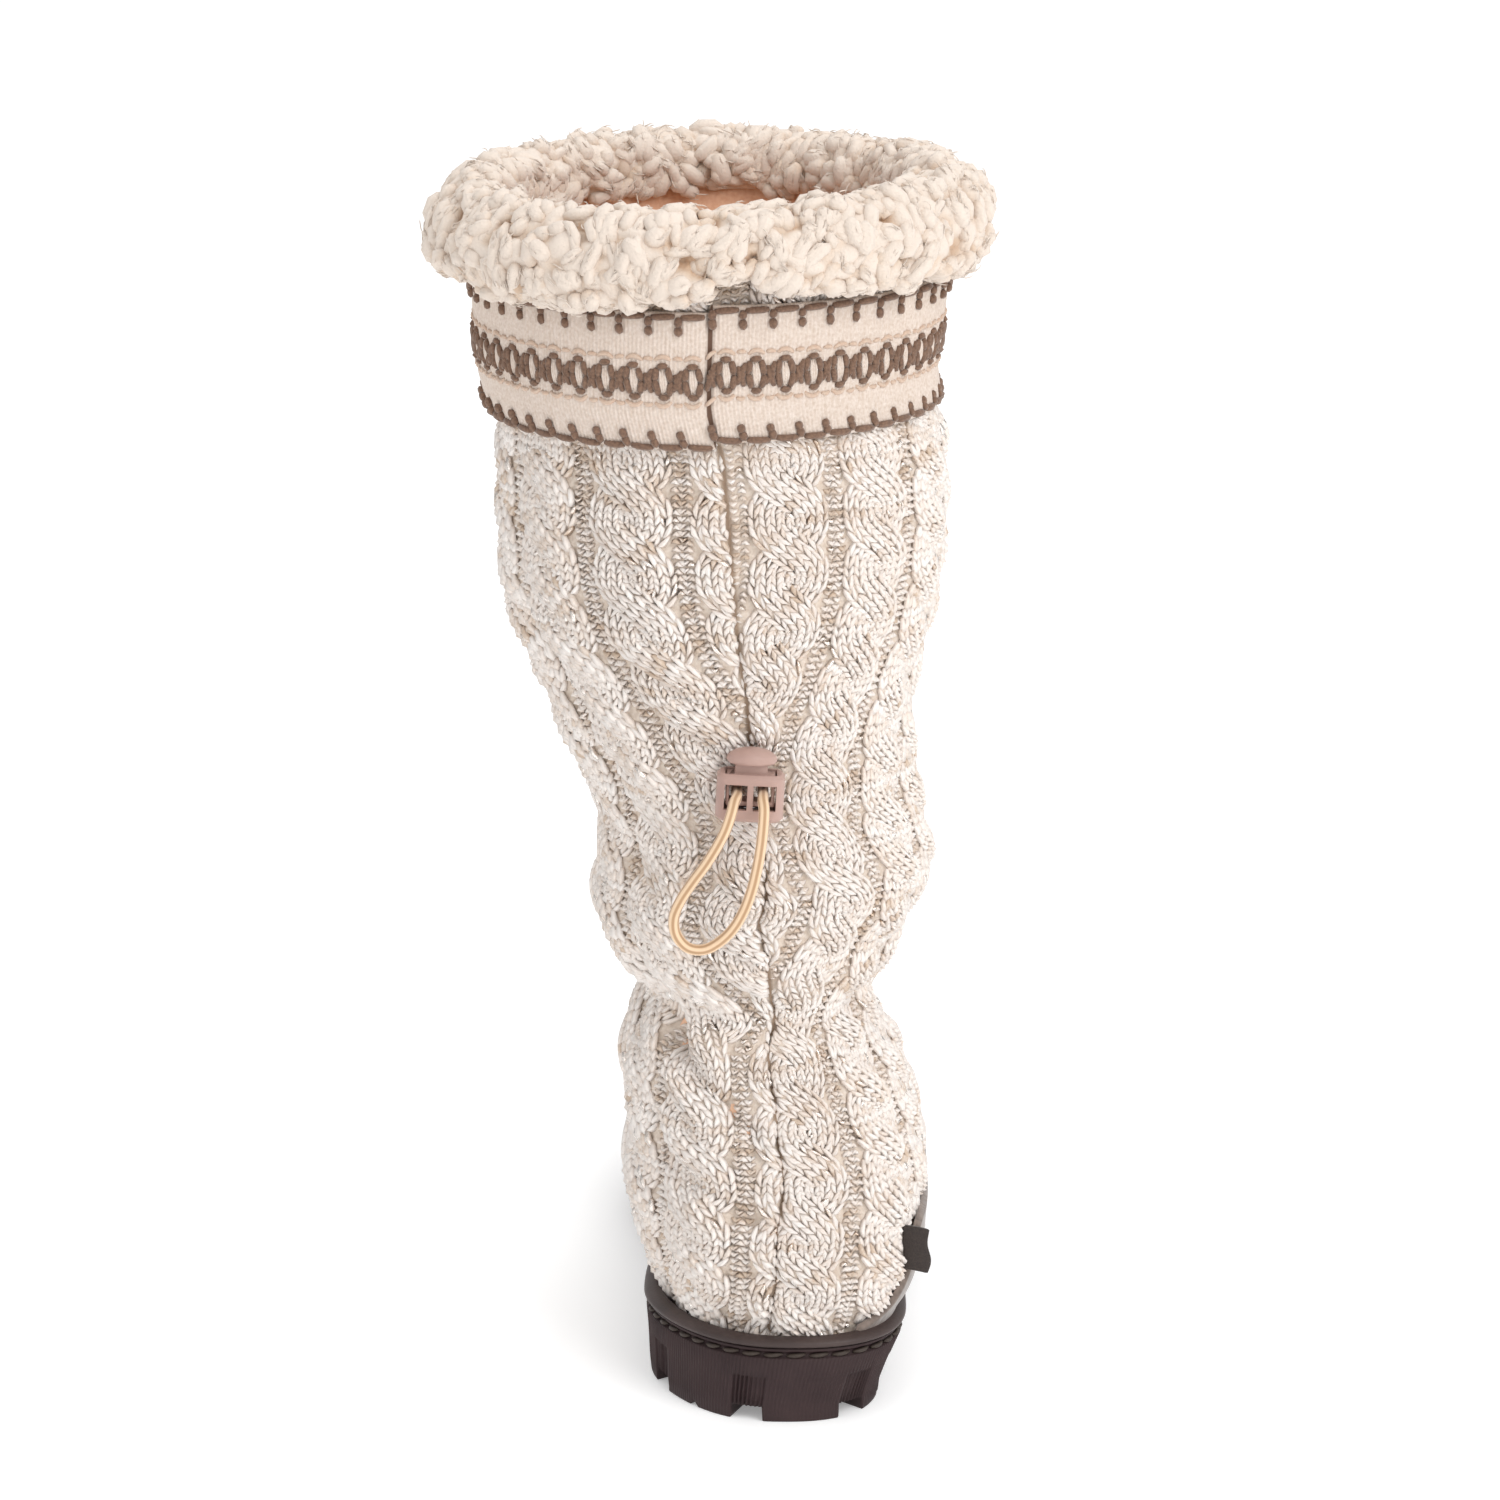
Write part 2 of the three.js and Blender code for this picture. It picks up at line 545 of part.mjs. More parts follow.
const body = new THREE.Group();
body.add(
  piece('outsole', makeOutsole()),
  piece('rand', makeRand()),
  piece('insole', makeInsole()),
  piece('upper', makeUpper()),
  piece('vamp', makeVamp()),
  piece('band', makeBand()),
  piece('cuff', makeCuff()),
  piece('flag_label', makeLabel()),
);
const lock = new THREE.Group();
lock.add(piece('lock_barrel', makeBarrel()), piece('lock_button', makeButton()));
lock.position.set(LOCK.x, LOCK.y, LOCK.z);
lock.rotation.y = THREE.MathUtils.degToRad(LOCK.tilt);
body.add(lock);

// The origin is the middle of the footprint, on the ground
const bounds = new THREE.Box3().setFromObject(body);
body.add(piece('drawcord', makeCord()));
const boot = new THREE.Group();
boot.add(body);
body.position.set(-(bounds.min.x + bounds.max.x) / 2, -(bounds.min.y + bounds.max.y) / 2, -bounds.min.z);

export default boot;
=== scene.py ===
"""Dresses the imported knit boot: cable stitches, fleece, woven band, suede, lugged sole and drawcord."""

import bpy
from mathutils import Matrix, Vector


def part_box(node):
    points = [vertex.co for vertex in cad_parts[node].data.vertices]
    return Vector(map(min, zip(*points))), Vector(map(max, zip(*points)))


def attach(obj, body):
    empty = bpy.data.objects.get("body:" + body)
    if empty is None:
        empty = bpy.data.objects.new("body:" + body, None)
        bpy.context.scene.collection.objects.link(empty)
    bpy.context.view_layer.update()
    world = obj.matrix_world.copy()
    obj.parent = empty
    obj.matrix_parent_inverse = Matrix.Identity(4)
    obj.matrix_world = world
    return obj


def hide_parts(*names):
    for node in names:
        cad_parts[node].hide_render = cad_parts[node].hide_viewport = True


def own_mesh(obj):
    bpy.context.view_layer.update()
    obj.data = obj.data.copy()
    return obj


bl_info = {
    "name": "Cable Knit Boot",
    "version": (1, 0, 0),
    "blender": (4, 5, 0),
    "location": "View3D > Sidebar > Knit Boot",
    "description": "Builds the visible pieces of a tall cable knit boot around its packed frame",
    "category": "Object",
}

import bmesh
import bpy
import numpy as np
from mathutils import Vector

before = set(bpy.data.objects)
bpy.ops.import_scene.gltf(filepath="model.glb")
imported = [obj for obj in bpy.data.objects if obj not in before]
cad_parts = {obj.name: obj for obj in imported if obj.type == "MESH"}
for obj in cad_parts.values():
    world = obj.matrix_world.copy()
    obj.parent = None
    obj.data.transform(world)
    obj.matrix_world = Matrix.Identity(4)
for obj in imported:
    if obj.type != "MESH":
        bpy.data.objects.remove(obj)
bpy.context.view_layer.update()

MM = 0.001
TAU = 2 * np.pi

# The last, in millimetres: X = 0 on the foot's axis, Y = 0 at the heel of the sole, Z = 0 on the floor
LOCK_PLACE = np.array([-7.5, -3.4, 174.0])
LOCK_TILT = np.radians(3.0)
LOCK_CENTRE = (np.array(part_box("lock_barrel")[0]) + np.array(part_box("lock_barrel")[1])) / 2
ROW_SHIFT = LOCK_CENTRE / MM - LOCK_PLACE

SOLE_TOP_HEEL = 19.6
SOLE_WEDGE = 4.0
WEDGE_RUN = (60.0, 150.0)
TOE_SPRING = 9.0
TOE_SPRING_START = 205.0
TOE_SPRING_LENGTH = 60.0
ARCH_RISE = 2.5
ARCH_UNDER = (104.0, 26.0)
LUG_DEPTH = 4.0
RAND_TOP = 23.4
HEEL_SKEW = 5.5
HEEL_SKEW_LENGTH = 45.0
HEEL_SKEW_FADE = (25.0, 75.0)
TOE_TURN = -3.0
TOE_TURN_RUN = (125.0, 265.0)
HEEL_POWER = 2.4
TOE_POWER = 2.7
SHAFT_FADE = (50.0, 110.0)
FEATHER_FADE = (28.0, 90.0)
LATERAL_BALL = (162.0, 95.0)
MEDIAL_BALL = (186.0, 80.0)
ARCH_WAIST = (102.0, 55.0)
WALL = 3.0

# height, back, front, heel_round, toe_round, centre, half, ball, waist
UPPER_ROWS = np.array([
    (20, 4.5, 260.5, 49, 104, 0, 30.5, 6.5, 3),
    (25, 3.8, 260.5, 49, 104, 0, 31.2, 6.5, 3),
    (31, 0.8, 260, 49, 104, -0.1, 34.3, 5.5, 3),
    (37, -1.2, 257.5, 49, 106, -0.1, 36.2, 3, 3),
    (42.5, -2, 252, 49, 108, -0.2, 37.6, -0.5, 2.5),
    (47, -2, 243, 49, 110, -0.3, 38.2, -3.5, 2),
    (51, -1.8, 230, 49, 112, -0.3, 38.7, -6, 1.5),
    (54.5, -1.5, 214, 49, 112, -0.4, 39.1, -8.5, 1),
    (58.5, -1, 196, 49, 112, 0, 38.9, -11, 0.5),
    (63.5, -0.3, 178, 49, 108, 0.4, 38.5, -12, 0),
    (70, 0.8, 159, 52, 98, -0.8, 38.2, -10, 0),
    (78, 2.2, 142, 53, 84, -3.2, 38.2, -6, 0),
    (87, 4.8, 128, 52, 70, -5.1, 37.4, -3, 0),
    (95, 8, 118, 50, 60, -6.5, 33.8, 0, 0),
    (101, 9.5, 112.5, 50, 53, -6.4, 31.5, 0, 0),
    (108, 9.5, 109.5, 50, 50, -5, 30.4, 0, 0),
    (115, 8, 109.5, 50, 51, -6.2, 35, 0, 0),
    (123, 5.5, 111, 52, 53, -7, 40, 0, 0),
    (132, 3.5, 112.5, 54, 55, -6, 43.5, 0, 0),
    (141, 2.8, 112, 54, 55, -3.4, 44.3, 0, 0),
    (150, 3.8, 109.5, 52, 53, -4, 43.4, 0, 0),
    (160, 5, 107, 51, 51, -5.8, 43.3, 0, 0),
    (170, 4.5, 106.5, 51, 51, -8.6, 44.7, 0, 0),
    (182, 2, 107.5, 52, 53, -12, 47, 0, 0),
    (197, -1, 110.5, 55, 56, -13.4, 50.8, 0, 0),
    (214, -3.5, 114, 56, 62, -14.6, 56.4, 0, 0),
    (235, -4.5, 116.5, 56, 66, -14.5, 58.8, 0, 0),
    (261, -4.5, 116.5, 55, 67, -15, 58.4, 0, 0),
    (274, -5.8, 117.8, 55, 70, -18.4, 58.5, 0, 0),
    (302, -7, 118.5, 55, 72, -18, 61, 0, 0),
    (320, -7.5, 119, 55, 73, -18.2, 61.6, 0, 0),
])
TOP_LEVEL = len(UPPER_ROWS) - 1
SOLE_ROW = np.array([0, 0, 265, 50, 104, -0.8, 34.8, 6.5, 3], float)

# Where the suede's rear edge runs on each side: y, z
VAMP_LATERAL = [(8, 25), (12, 29), (15, 38), (19, 47), (26, 51), (46, 53), (78, 55), (104, 63), (140, 81)]
VAMP_MEDIAL = [(61, 26), (66, 34), (76, 39), (90, 42), (110, 51), (140, 81)]

# The knit's lattice: columns on each side are counted from the back seam under the band
COLUMNS_RIGHT = 77
COLUMNS_LEFT = 72
REPEAT = 11
CABLE_COLUMNS = 8
CABLE_SPREAD = 1.125
SEAM_PURLS = 3
LEFT_SHIFT = 5
GRAIN_TOP = 268.0
GRAIN_FOOT = 100.0
HEEL_GRAIN = 72.0
NARROWING = 0.45
HEEL_SPREAD = 1.2
FRONT_COLUMNS = 30
BAND_BOTTOM = 267.0
BAND_TOP = 303.0

# The back seam's wander: height, distance to the right of the last's back line
SEAM_WANDER = np.array([
    (24, -8.5), (50, -3), (74, 2.6), (88, 4.6), (126, 4.7), (137, -1),
    (160, 2), (183, 5.4), (198, 5.4), (256, 0.6), (303, 0.5), (320, 0.5),
])

# Soft folds in the knit: start arc, start height, end arc, end height, depth (below zero a swell), width
FOLDS = np.array([
    (-38, 121, -25, 101, 2.0, 4.0),
    (-25, 101, -3, 79, 2.8, 4.0),
    (-26, 66, -8, 56, 1.6, 3.6),
    (-42, 84, -29, 62, 1.8, 3.6),
    (-70, 215, -34, 178, 1.8, 5.0),
    (-64, 190, -30, 163, 1.6, 4.5),
    (-60, 160, -34, 148, 1.4, 4.5),
    (26, 104, 48, 112, 1.8, 4.5),
    (30, 160, 62, 166, 1.3, 5.0),
    (24, 128, 52, 122, 1.2, 4.0),
    (-62, 61, -98, 59, -2.0, 11.0),
])
FOLD_RIDGE = 0.4


def linear(hex_colour):
    """Linear RGBA of an sRGB hex colour: each channel through the sRGB curve."""
    channels = np.array([int(hex_colour[i:i + 2], 16) / 255 for i in (1, 3, 5)])
    low = channels / 12.92
    high = ((channels + 0.055) / 1.055) ** 2.4
    return (*np.where(channels <= 0.04045, low, high), 1.0)


def smooth(low, high, value):
    """Zero below low, one above high and the smoothstep cubic between."""
    share = np.clip((value - low) / (high - low), 0, 1)
    return share * share * (3 - 2 * share)


def hump(value, place, reach):
    """Raised cosine that is one at place and zero a reach away."""
    return (1 + np.cos(np.pi * np.minimum(1, np.abs(value - place) / reach))) / 2


def closing(share, power):
    """Superellipse quarter: zero at share 0, one at share 1 and beyond."""
    return (1 - (1 - np.clip(share, 0, 1)) ** power) ** (1 / power)


def unit(vectors):
    """Vectors divided by their length."""
    return vectors / np.maximum(np.linalg.norm(vectors, axis=-1, keepdims=True), 1e-9)


def through(points, at):
    """Catmull-Rom curve through the rows of points, read at float positions."""
    points = np.asarray(points, float)
    last = len(points) - 1
    index = np.clip(np.floor(at).astype(int), 0, last - 1)
    share = (at - index)[..., None]
    before, start, end, after = (points[np.clip(index + step, 0, last)] for step in (-1, 0, 1, 2))
    return 0.5 * (2 * start + (end - before) * share
                  + (2 * before - 5 * start + 4 * end - after) * share ** 2
                  + (3 * start - before - 3 * end + after) * share ** 3)


def spring(y):
    """Rise of the toe, a square law past the ball."""
    return TOE_SPRING * np.clip((y - TOE_SPRING_START) / TOE_SPRING_LENGTH, 0, 1) ** 2


def sole_bottom(y):
    """Height of the tread: toe spring plus the hump of the arch."""
    return spring(y) + ARCH_RISE * hump(y, *ARCH_UNDER)


def sole_top(y):
    """Height of the sole's upper edge: the heel's, less the wedge, plus the toe spring."""
    return SOLE_TOP_HEEL - SOLE_WEDGE * smooth(*WEDGE_RUN, y) + spring(y)


def outline(rows, angle):
    """X and Y of a level's closed outline: y runs as a cosine from back to front, x is half width times the
    rounding of both ends, with ball and arch on their own sides, skewed at the heel, turned at the toe."""
    height, back, front, heel_round, toe_round, centre, half, ball, waist = np.moveaxis(rows, -1, 0)
    y = back + (front - back) * (1 - np.cos(angle)) / 2
    outer = np.sin(angle) >= 0
    lateral = half + ball * hump(y, *LATERAL_BALL)
    medial = half + ball * hump(y, *MEDIAL_BALL) - waist * hump(y, *ARCH_WAIST)
    shaft = smooth(*SHAFT_FADE, height)
    heel_power, toe_power = (foot + (2 - foot) * shaft for foot in (HEEL_POWER, TOE_POWER))
    ends = closing((y - back) / heel_round, heel_power) * closing((front - y) / toe_round, toe_power)
    skew = HEEL_SKEW * (1 - smooth(0, HEEL_SKEW_LENGTH, y)) * (1 - smooth(*HEEL_SKEW_FADE, height))
    middle = centre + skew + TOE_TURN * smooth(*TOE_TURN_RUN, y)
    return middle + np.where(outer, lateral, -medial) * ends, y


def upper_face(level, angle):
    """Points of the upper's outer face: a level's outline, lifted near the feather edge as the sole is."""
    rows = through(UPPER_ROWS, np.broadcast_to(level, np.broadcast_shapes(level.shape, angle.shape)))
    x, y = outline(rows, angle)
    height = rows[..., 0]
    z = height + (sole_top(y) - SOLE_TOP_HEEL) * (1 - smooth(*FEATHER_FADE, height))
    return np.stack([x, y, z], axis=-1)


class ShaftFace:
    """The upper's face as tables, read by level up the last and by share of the girth from the back."""

    LEVELS = 481
    SHARES = 961

    def __init__(self):
        self.levels = np.linspace(0, TOP_LEVEL, self.LEVELS)
        angles = np.linspace(0, TAU, self.SHARES)
        shares = np.linspace(0, 1, self.SHARES)
        first = upper_face(self.levels[:, None], angles[None, :])
        steps = np.linalg.norm(np.diff(first, axis=1), axis=2)
        arcs = np.cumsum(np.pad(steps, ((0, 0), (1, 0))), axis=1)
        self.girth = arcs[:, -1]
        even = np.array([np.interp(shares, arc / arc[-1], angles) for arc in arcs])
        self.points = upper_face(self.levels[:, None], even)
        ring = self.points[:, :-1]
        around = np.roll(ring, -1, axis=1) - np.roll(ring, 1, axis=1)
        normals = unit(np.cross(around, np.gradient(ring, axis=0)))
        self.normals = np.concatenate([normals, normals[:, :1]], axis=1)
        back = self.points[:, 0]
        climbs = np.linalg.norm(np.diff(back, axis=0), axis=1)
        self.climb = np.concatenate([[0], np.cumsum(climbs)])
        self.heights = back[:, 2]

    def level_at(self, height):
        """Level of a height on the back line."""
        return np.interp(height, self.heights, self.levels)

    def height_at(self, level):
        """Height of a level on the back line."""
        return np.interp(level, self.levels, self.heights)

    def girth_at(self, level):
        """Length round the upper at a level."""
        return np.interp(level, self.levels, self.girth)

    def read(self, table, level, share):
        """Bilinear reading of a table."""
        row = np.clip(level / TOP_LEVEL * (self.LEVELS - 1), 0, self.LEVELS - 1.001)
        column = np.mod(share, 1) * (self.SHARES - 1)
        i, j = np.floor(row).astype(int), np.minimum(np.floor(column).astype(int), self.SHARES - 2)
        u, v = (row - i)[..., None], (column - j)[..., None]
        low = table[i, j] * (1 - v) + table[i, j + 1] * v
        high = table[i + 1, j] * (1 - v) + table[i + 1, j + 1] * v
        return low * (1 - u) + high * u

    def fold(self, level, share):
        """Height of the soft folds: along each line a bell trough with a lower bell ridge beside it."""
        arc = (np.mod(share + 0.5, 1) - 0.5) * self.girth_at(level)
        height = self.height_at(level)
        rise = np.zeros(np.shape(arc))
        for start_arc, start_height, end_arc, end_height, depth, width in FOLDS:
            run = np.array([end_arc - start_arc, end_height - start_height])
            along = ((arc - start_arc) * run[0] + (height - start_height) * run[1]) / (run @ run)
            held = np.clip(along, 0, 1)
            across = np.hypot(arc - start_arc - held * run[0], height - start_height - held * run[1])
            trough = np.exp(-(across / width) ** 2)
            ridge = np.exp(-((across - 2 * width) / width) ** 2)
            rise += depth * (FOLD_RIDGE * ridge - trough)
        return rise

    def place(self, level, share, out):
        """Points moved out from the face along its normal, folds included, and the normals there."""
        level, share, out = np.broadcast_arrays(level, share, out)
        normals = unit(self.read(self.normals, level, share))
        rise = out + self.fold(level, share)
        return self.read(self.points, level, share) + normals * rise[..., None], normals


FACE = ShaftFace()


def to_row(points):
    """Last millimetres to the row frame's metres."""
    return (points + ROW_SHIFT) * MM


def make_piece(name, points, faces, slot, material, body="boot", replaced=(), values=None):
    """A mesh object of points in last millimetres and arrays of faces, with named values at its points."""
    corners = np.concatenate([part.ravel() for part in faces])
    sizes = np.concatenate([np.full(len(part), part.shape[1]) for part in faces])
    mesh = bpy.data.meshes.new(name)
    mesh.vertices.add(len(points))
    mesh.vertices.foreach_set("co", to_row(points).astype(np.float32).ravel())
    mesh.loops.add(len(corners))
    mesh.loops.foreach_set("vertex_index", corners.astype(np.int32))
    mesh.polygons.add(len(sizes))
    mesh.polygons.foreach_set("loop_start", (np.cumsum(sizes) - sizes).astype(np.int32))
    mesh.polygons.foreach_set("use_smooth", np.ones(len(sizes), bool))
    for label, numbers in (values or {}).items():
        layer = mesh.attributes.new(label, "FLOAT", "POINT")
        layer.data.foreach_set("value", np.asarray(numbers, np.float32).ravel())
    mesh.update(calc_edges=True)
    mesh.validate()
    mesh.materials.append(material)
    piece = bpy.data.objects.new(name, mesh)
    bpy.context.scene.collection.objects.link(piece)
    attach(piece, body)
    if replaced:
        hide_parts(*replaced)
    return piece


def grid_faces(rows, columns, wrap_rows=False, wrap_columns=True):
    """Quads of a grid whose points run row by row, closed either way where asked."""
    i = np.arange(rows if wrap_rows else rows - 1)[:, None]
    j = np.arange(columns if wrap_columns else columns - 1)[None, :]
    up, on = (i + 1) % rows, (j + 1) % columns
    quads = np.stack([i * columns + j, i * columns + on, up * columns + on, up * columns + j], axis=-1)
    return quads.reshape(-1, 4)


def sheet_faces(rows, columns):
    """Faces of a closed sheet: a grid, its turned copy behind it and a rim along their border."""
    count = rows * columns
    front = grid_faces(rows, columns, wrap_columns=False)
    border = np.concatenate([np.arange(columns), np.arange(2, rows) * columns - 1,
                             count - 1 - np.arange(columns), np.arange(rows - 2, 0, -1) * columns])
    beyond = np.roll(border, -1)
    rim = np.stack([border + count, beyond + count, beyond, border], axis=-1)
    return [front, front[:, ::-1] + count, rim]


def spindles(start, middle, end, up, radius, ring_at, ring_share, sides):
    """Closed spindles: rings of a section carried along the quadratic curve start, middle, end, with a tip
    at both ends. Returns the points, the quads, the triangles and each point's share of the way."""
    count, rings = len(start), len(ring_at)
    t = np.asarray(ring_at)[:, None, None]
    centre = (1 - t) ** 2 * start + 2 * t * (1 - t) * middle + t ** 2 * end
    tangent = unit((1 - t) * (middle - start) + t * (end - middle))
    side = unit(np.cross(tangent, up))
    over = np.cross(side, tangent)
    turn = np.arange(sides) * TAU / sides + TAU / 4
    spoke = np.cos(turn)[:, None] * side[:, :, None] + np.sin(turn)[:, None] * over[:, :, None]
    reach = np.asarray(ring_share)[:, None] * np.broadcast_to(radius, count)
    body = centre[:, :, None] + reach[:, :, None, None] * spoke
    body = body.transpose(1, 0, 2, 3).reshape(count, rings * sides, 3)
    points = np.concatenate([body, start[:, None], end[:, None]], axis=1).reshape(-1, 3)
    k, i = np.arange(rings - 1)[:, None] * sides, np.arange(sides)
    on = (i + 1) % sides
    quads = np.stack([k + i, k + sides + i, k + sides + on, k + on], axis=-1).reshape(-1, 4)
    tip, last = rings * sides, (rings - 1) * sides
    caps = np.concatenate([np.stack([np.full(sides, tip), i, on], axis=-1),
                           np.stack([np.full(sides, tip + 1), last + on, last + i], axis=-1)])
    base = np.arange(count)[:, None, None] * (tip + 2)
    along = np.concatenate([np.repeat(ring_at, sides), [0, 1]])
    return points, (base + quads).reshape(-1, 4), (base + caps).reshape(-1, 3), np.tile(along, count)


def ring_solid(name, sections, slot, material, **options):
    """A closed ring: sections is profile by column by 3, going up its outside and down its inside."""
    rows, columns = sections.shape[:2]
    faces = [grid_faces(rows, columns, wrap_rows=True)]
    return make_piece(name, sections.reshape(-1, 3), faces, slot, material, **options)


def seam_at(height):
    """Where the back seam lies at a height, right of the back line."""
    return np.interp(height, SEAM_WANDER[:, 0], SEAM_WANDER[:, 1])


def half_girth(height, right):
    """Length from the back seam round to the front on one side."""
    girth = FACE.girth_at(FACE.level_at(height))
    return girth / 2 + np.where(right, -1, 1) * seam_at(height)


def column_width(height, right):
    """Width of a knit column: a share of the half girth under the band, partly narrowed with the shaft."""
    count = np.where(right, COLUMNS_RIGHT, COLUMNS_LEFT)
    top = half_girth(GRAIN_TOP, right)
    ratio = half_girth(np.maximum(height, GRAIN_FOOT), right) / top
    spread = 1 + (HEEL_SPREAD - 1) * (1 - smooth(HEEL_GRAIN, GRAIN_FOOT, height))
    return top / count * (1 - NARROWING * (1 - ratio)) * spread


def beside_seam(column, height, right):
    """Distance of a column from the seam: columns keep their place from the front, so they run into the
    seam as the shaft narrows; below the ankle they keep their place from the seam."""
    side = np.where(right, 1, -1)
    count = np.where(right, COLUMNS_RIGHT, COLUMNS_LEFT)
    free = np.maximum(height, GRAIN_FOOT)
    plain = column_width(free, right)
    away = half_girth(free, right) - (count - side * column) * plain
    return side * away * column_width(height, right) / plain


def cable_offset(column, right):
    """Columns from the middle of the cable that a column lies in; over 4 in the purl furrows between."""
    half = CABLE_COLUMNS / 2
    outer = np.where(column < SEAM_PURLS, REPEAT, np.mod(column - SEAM_PURLS, REPEAT)) - half
    inner = half - np.mod(LEFT_SHIFT - column, REPEAT)
    return np.where(right, outer, inner)


def spread_out(offset):
    """Where a column lies from its cable's middle once the cables are spread and the furrows drawn in."""
    half = CABLE_COLUMNS / 2
    furrow = (REPEAT - 2 * half * CABLE_SPREAD) / (REPEAT - 2 * half)
    size = np.abs(offset)
    return np.sign(offset) * (np.minimum(size, half) * CABLE_SPREAD + np.maximum(size - half, 0) * furrow)


def vamp_height(y, line):
    """Height of the suede's rear edge at a place along the foot, by a curve through the line's points."""
    path = through(line, np.linspace(0, len(line) - 1, 200))
    return np.interp(y, path[:, 0], path[:, 1], left=0)


def under_vamp(points, margin):
    """True where a point lies inside the suede's edge by more than the margin."""
    edge = np.where(points[..., 0] > 0, vamp_height(points[..., 1], VAMP_LATERAL),
                    vamp_height(points[..., 1], VAMP_MEDIAL))
    return points[..., 2] < edge - margin


# A knit leg's three points: rows from its own, columns from the stitch's middle, height over the strand
KNIT_LEG = ((0.82, 0.47, -0.75), (0.0, 0.3, 0.15), (-0.66, 0.06, -0.75))
# A purl bump's three points: columns and rows from its middle, height over the furrow
PURL_BUMP = ((-0.5, -0.24, -0.5), (0.0, 0.2, 0.7), (0.5, -0.24, -0.5))
# How much lower the purl stitches' tone is: painted shade in the furrows between the cables
PURL_PAINTED_SHADE = 0.22


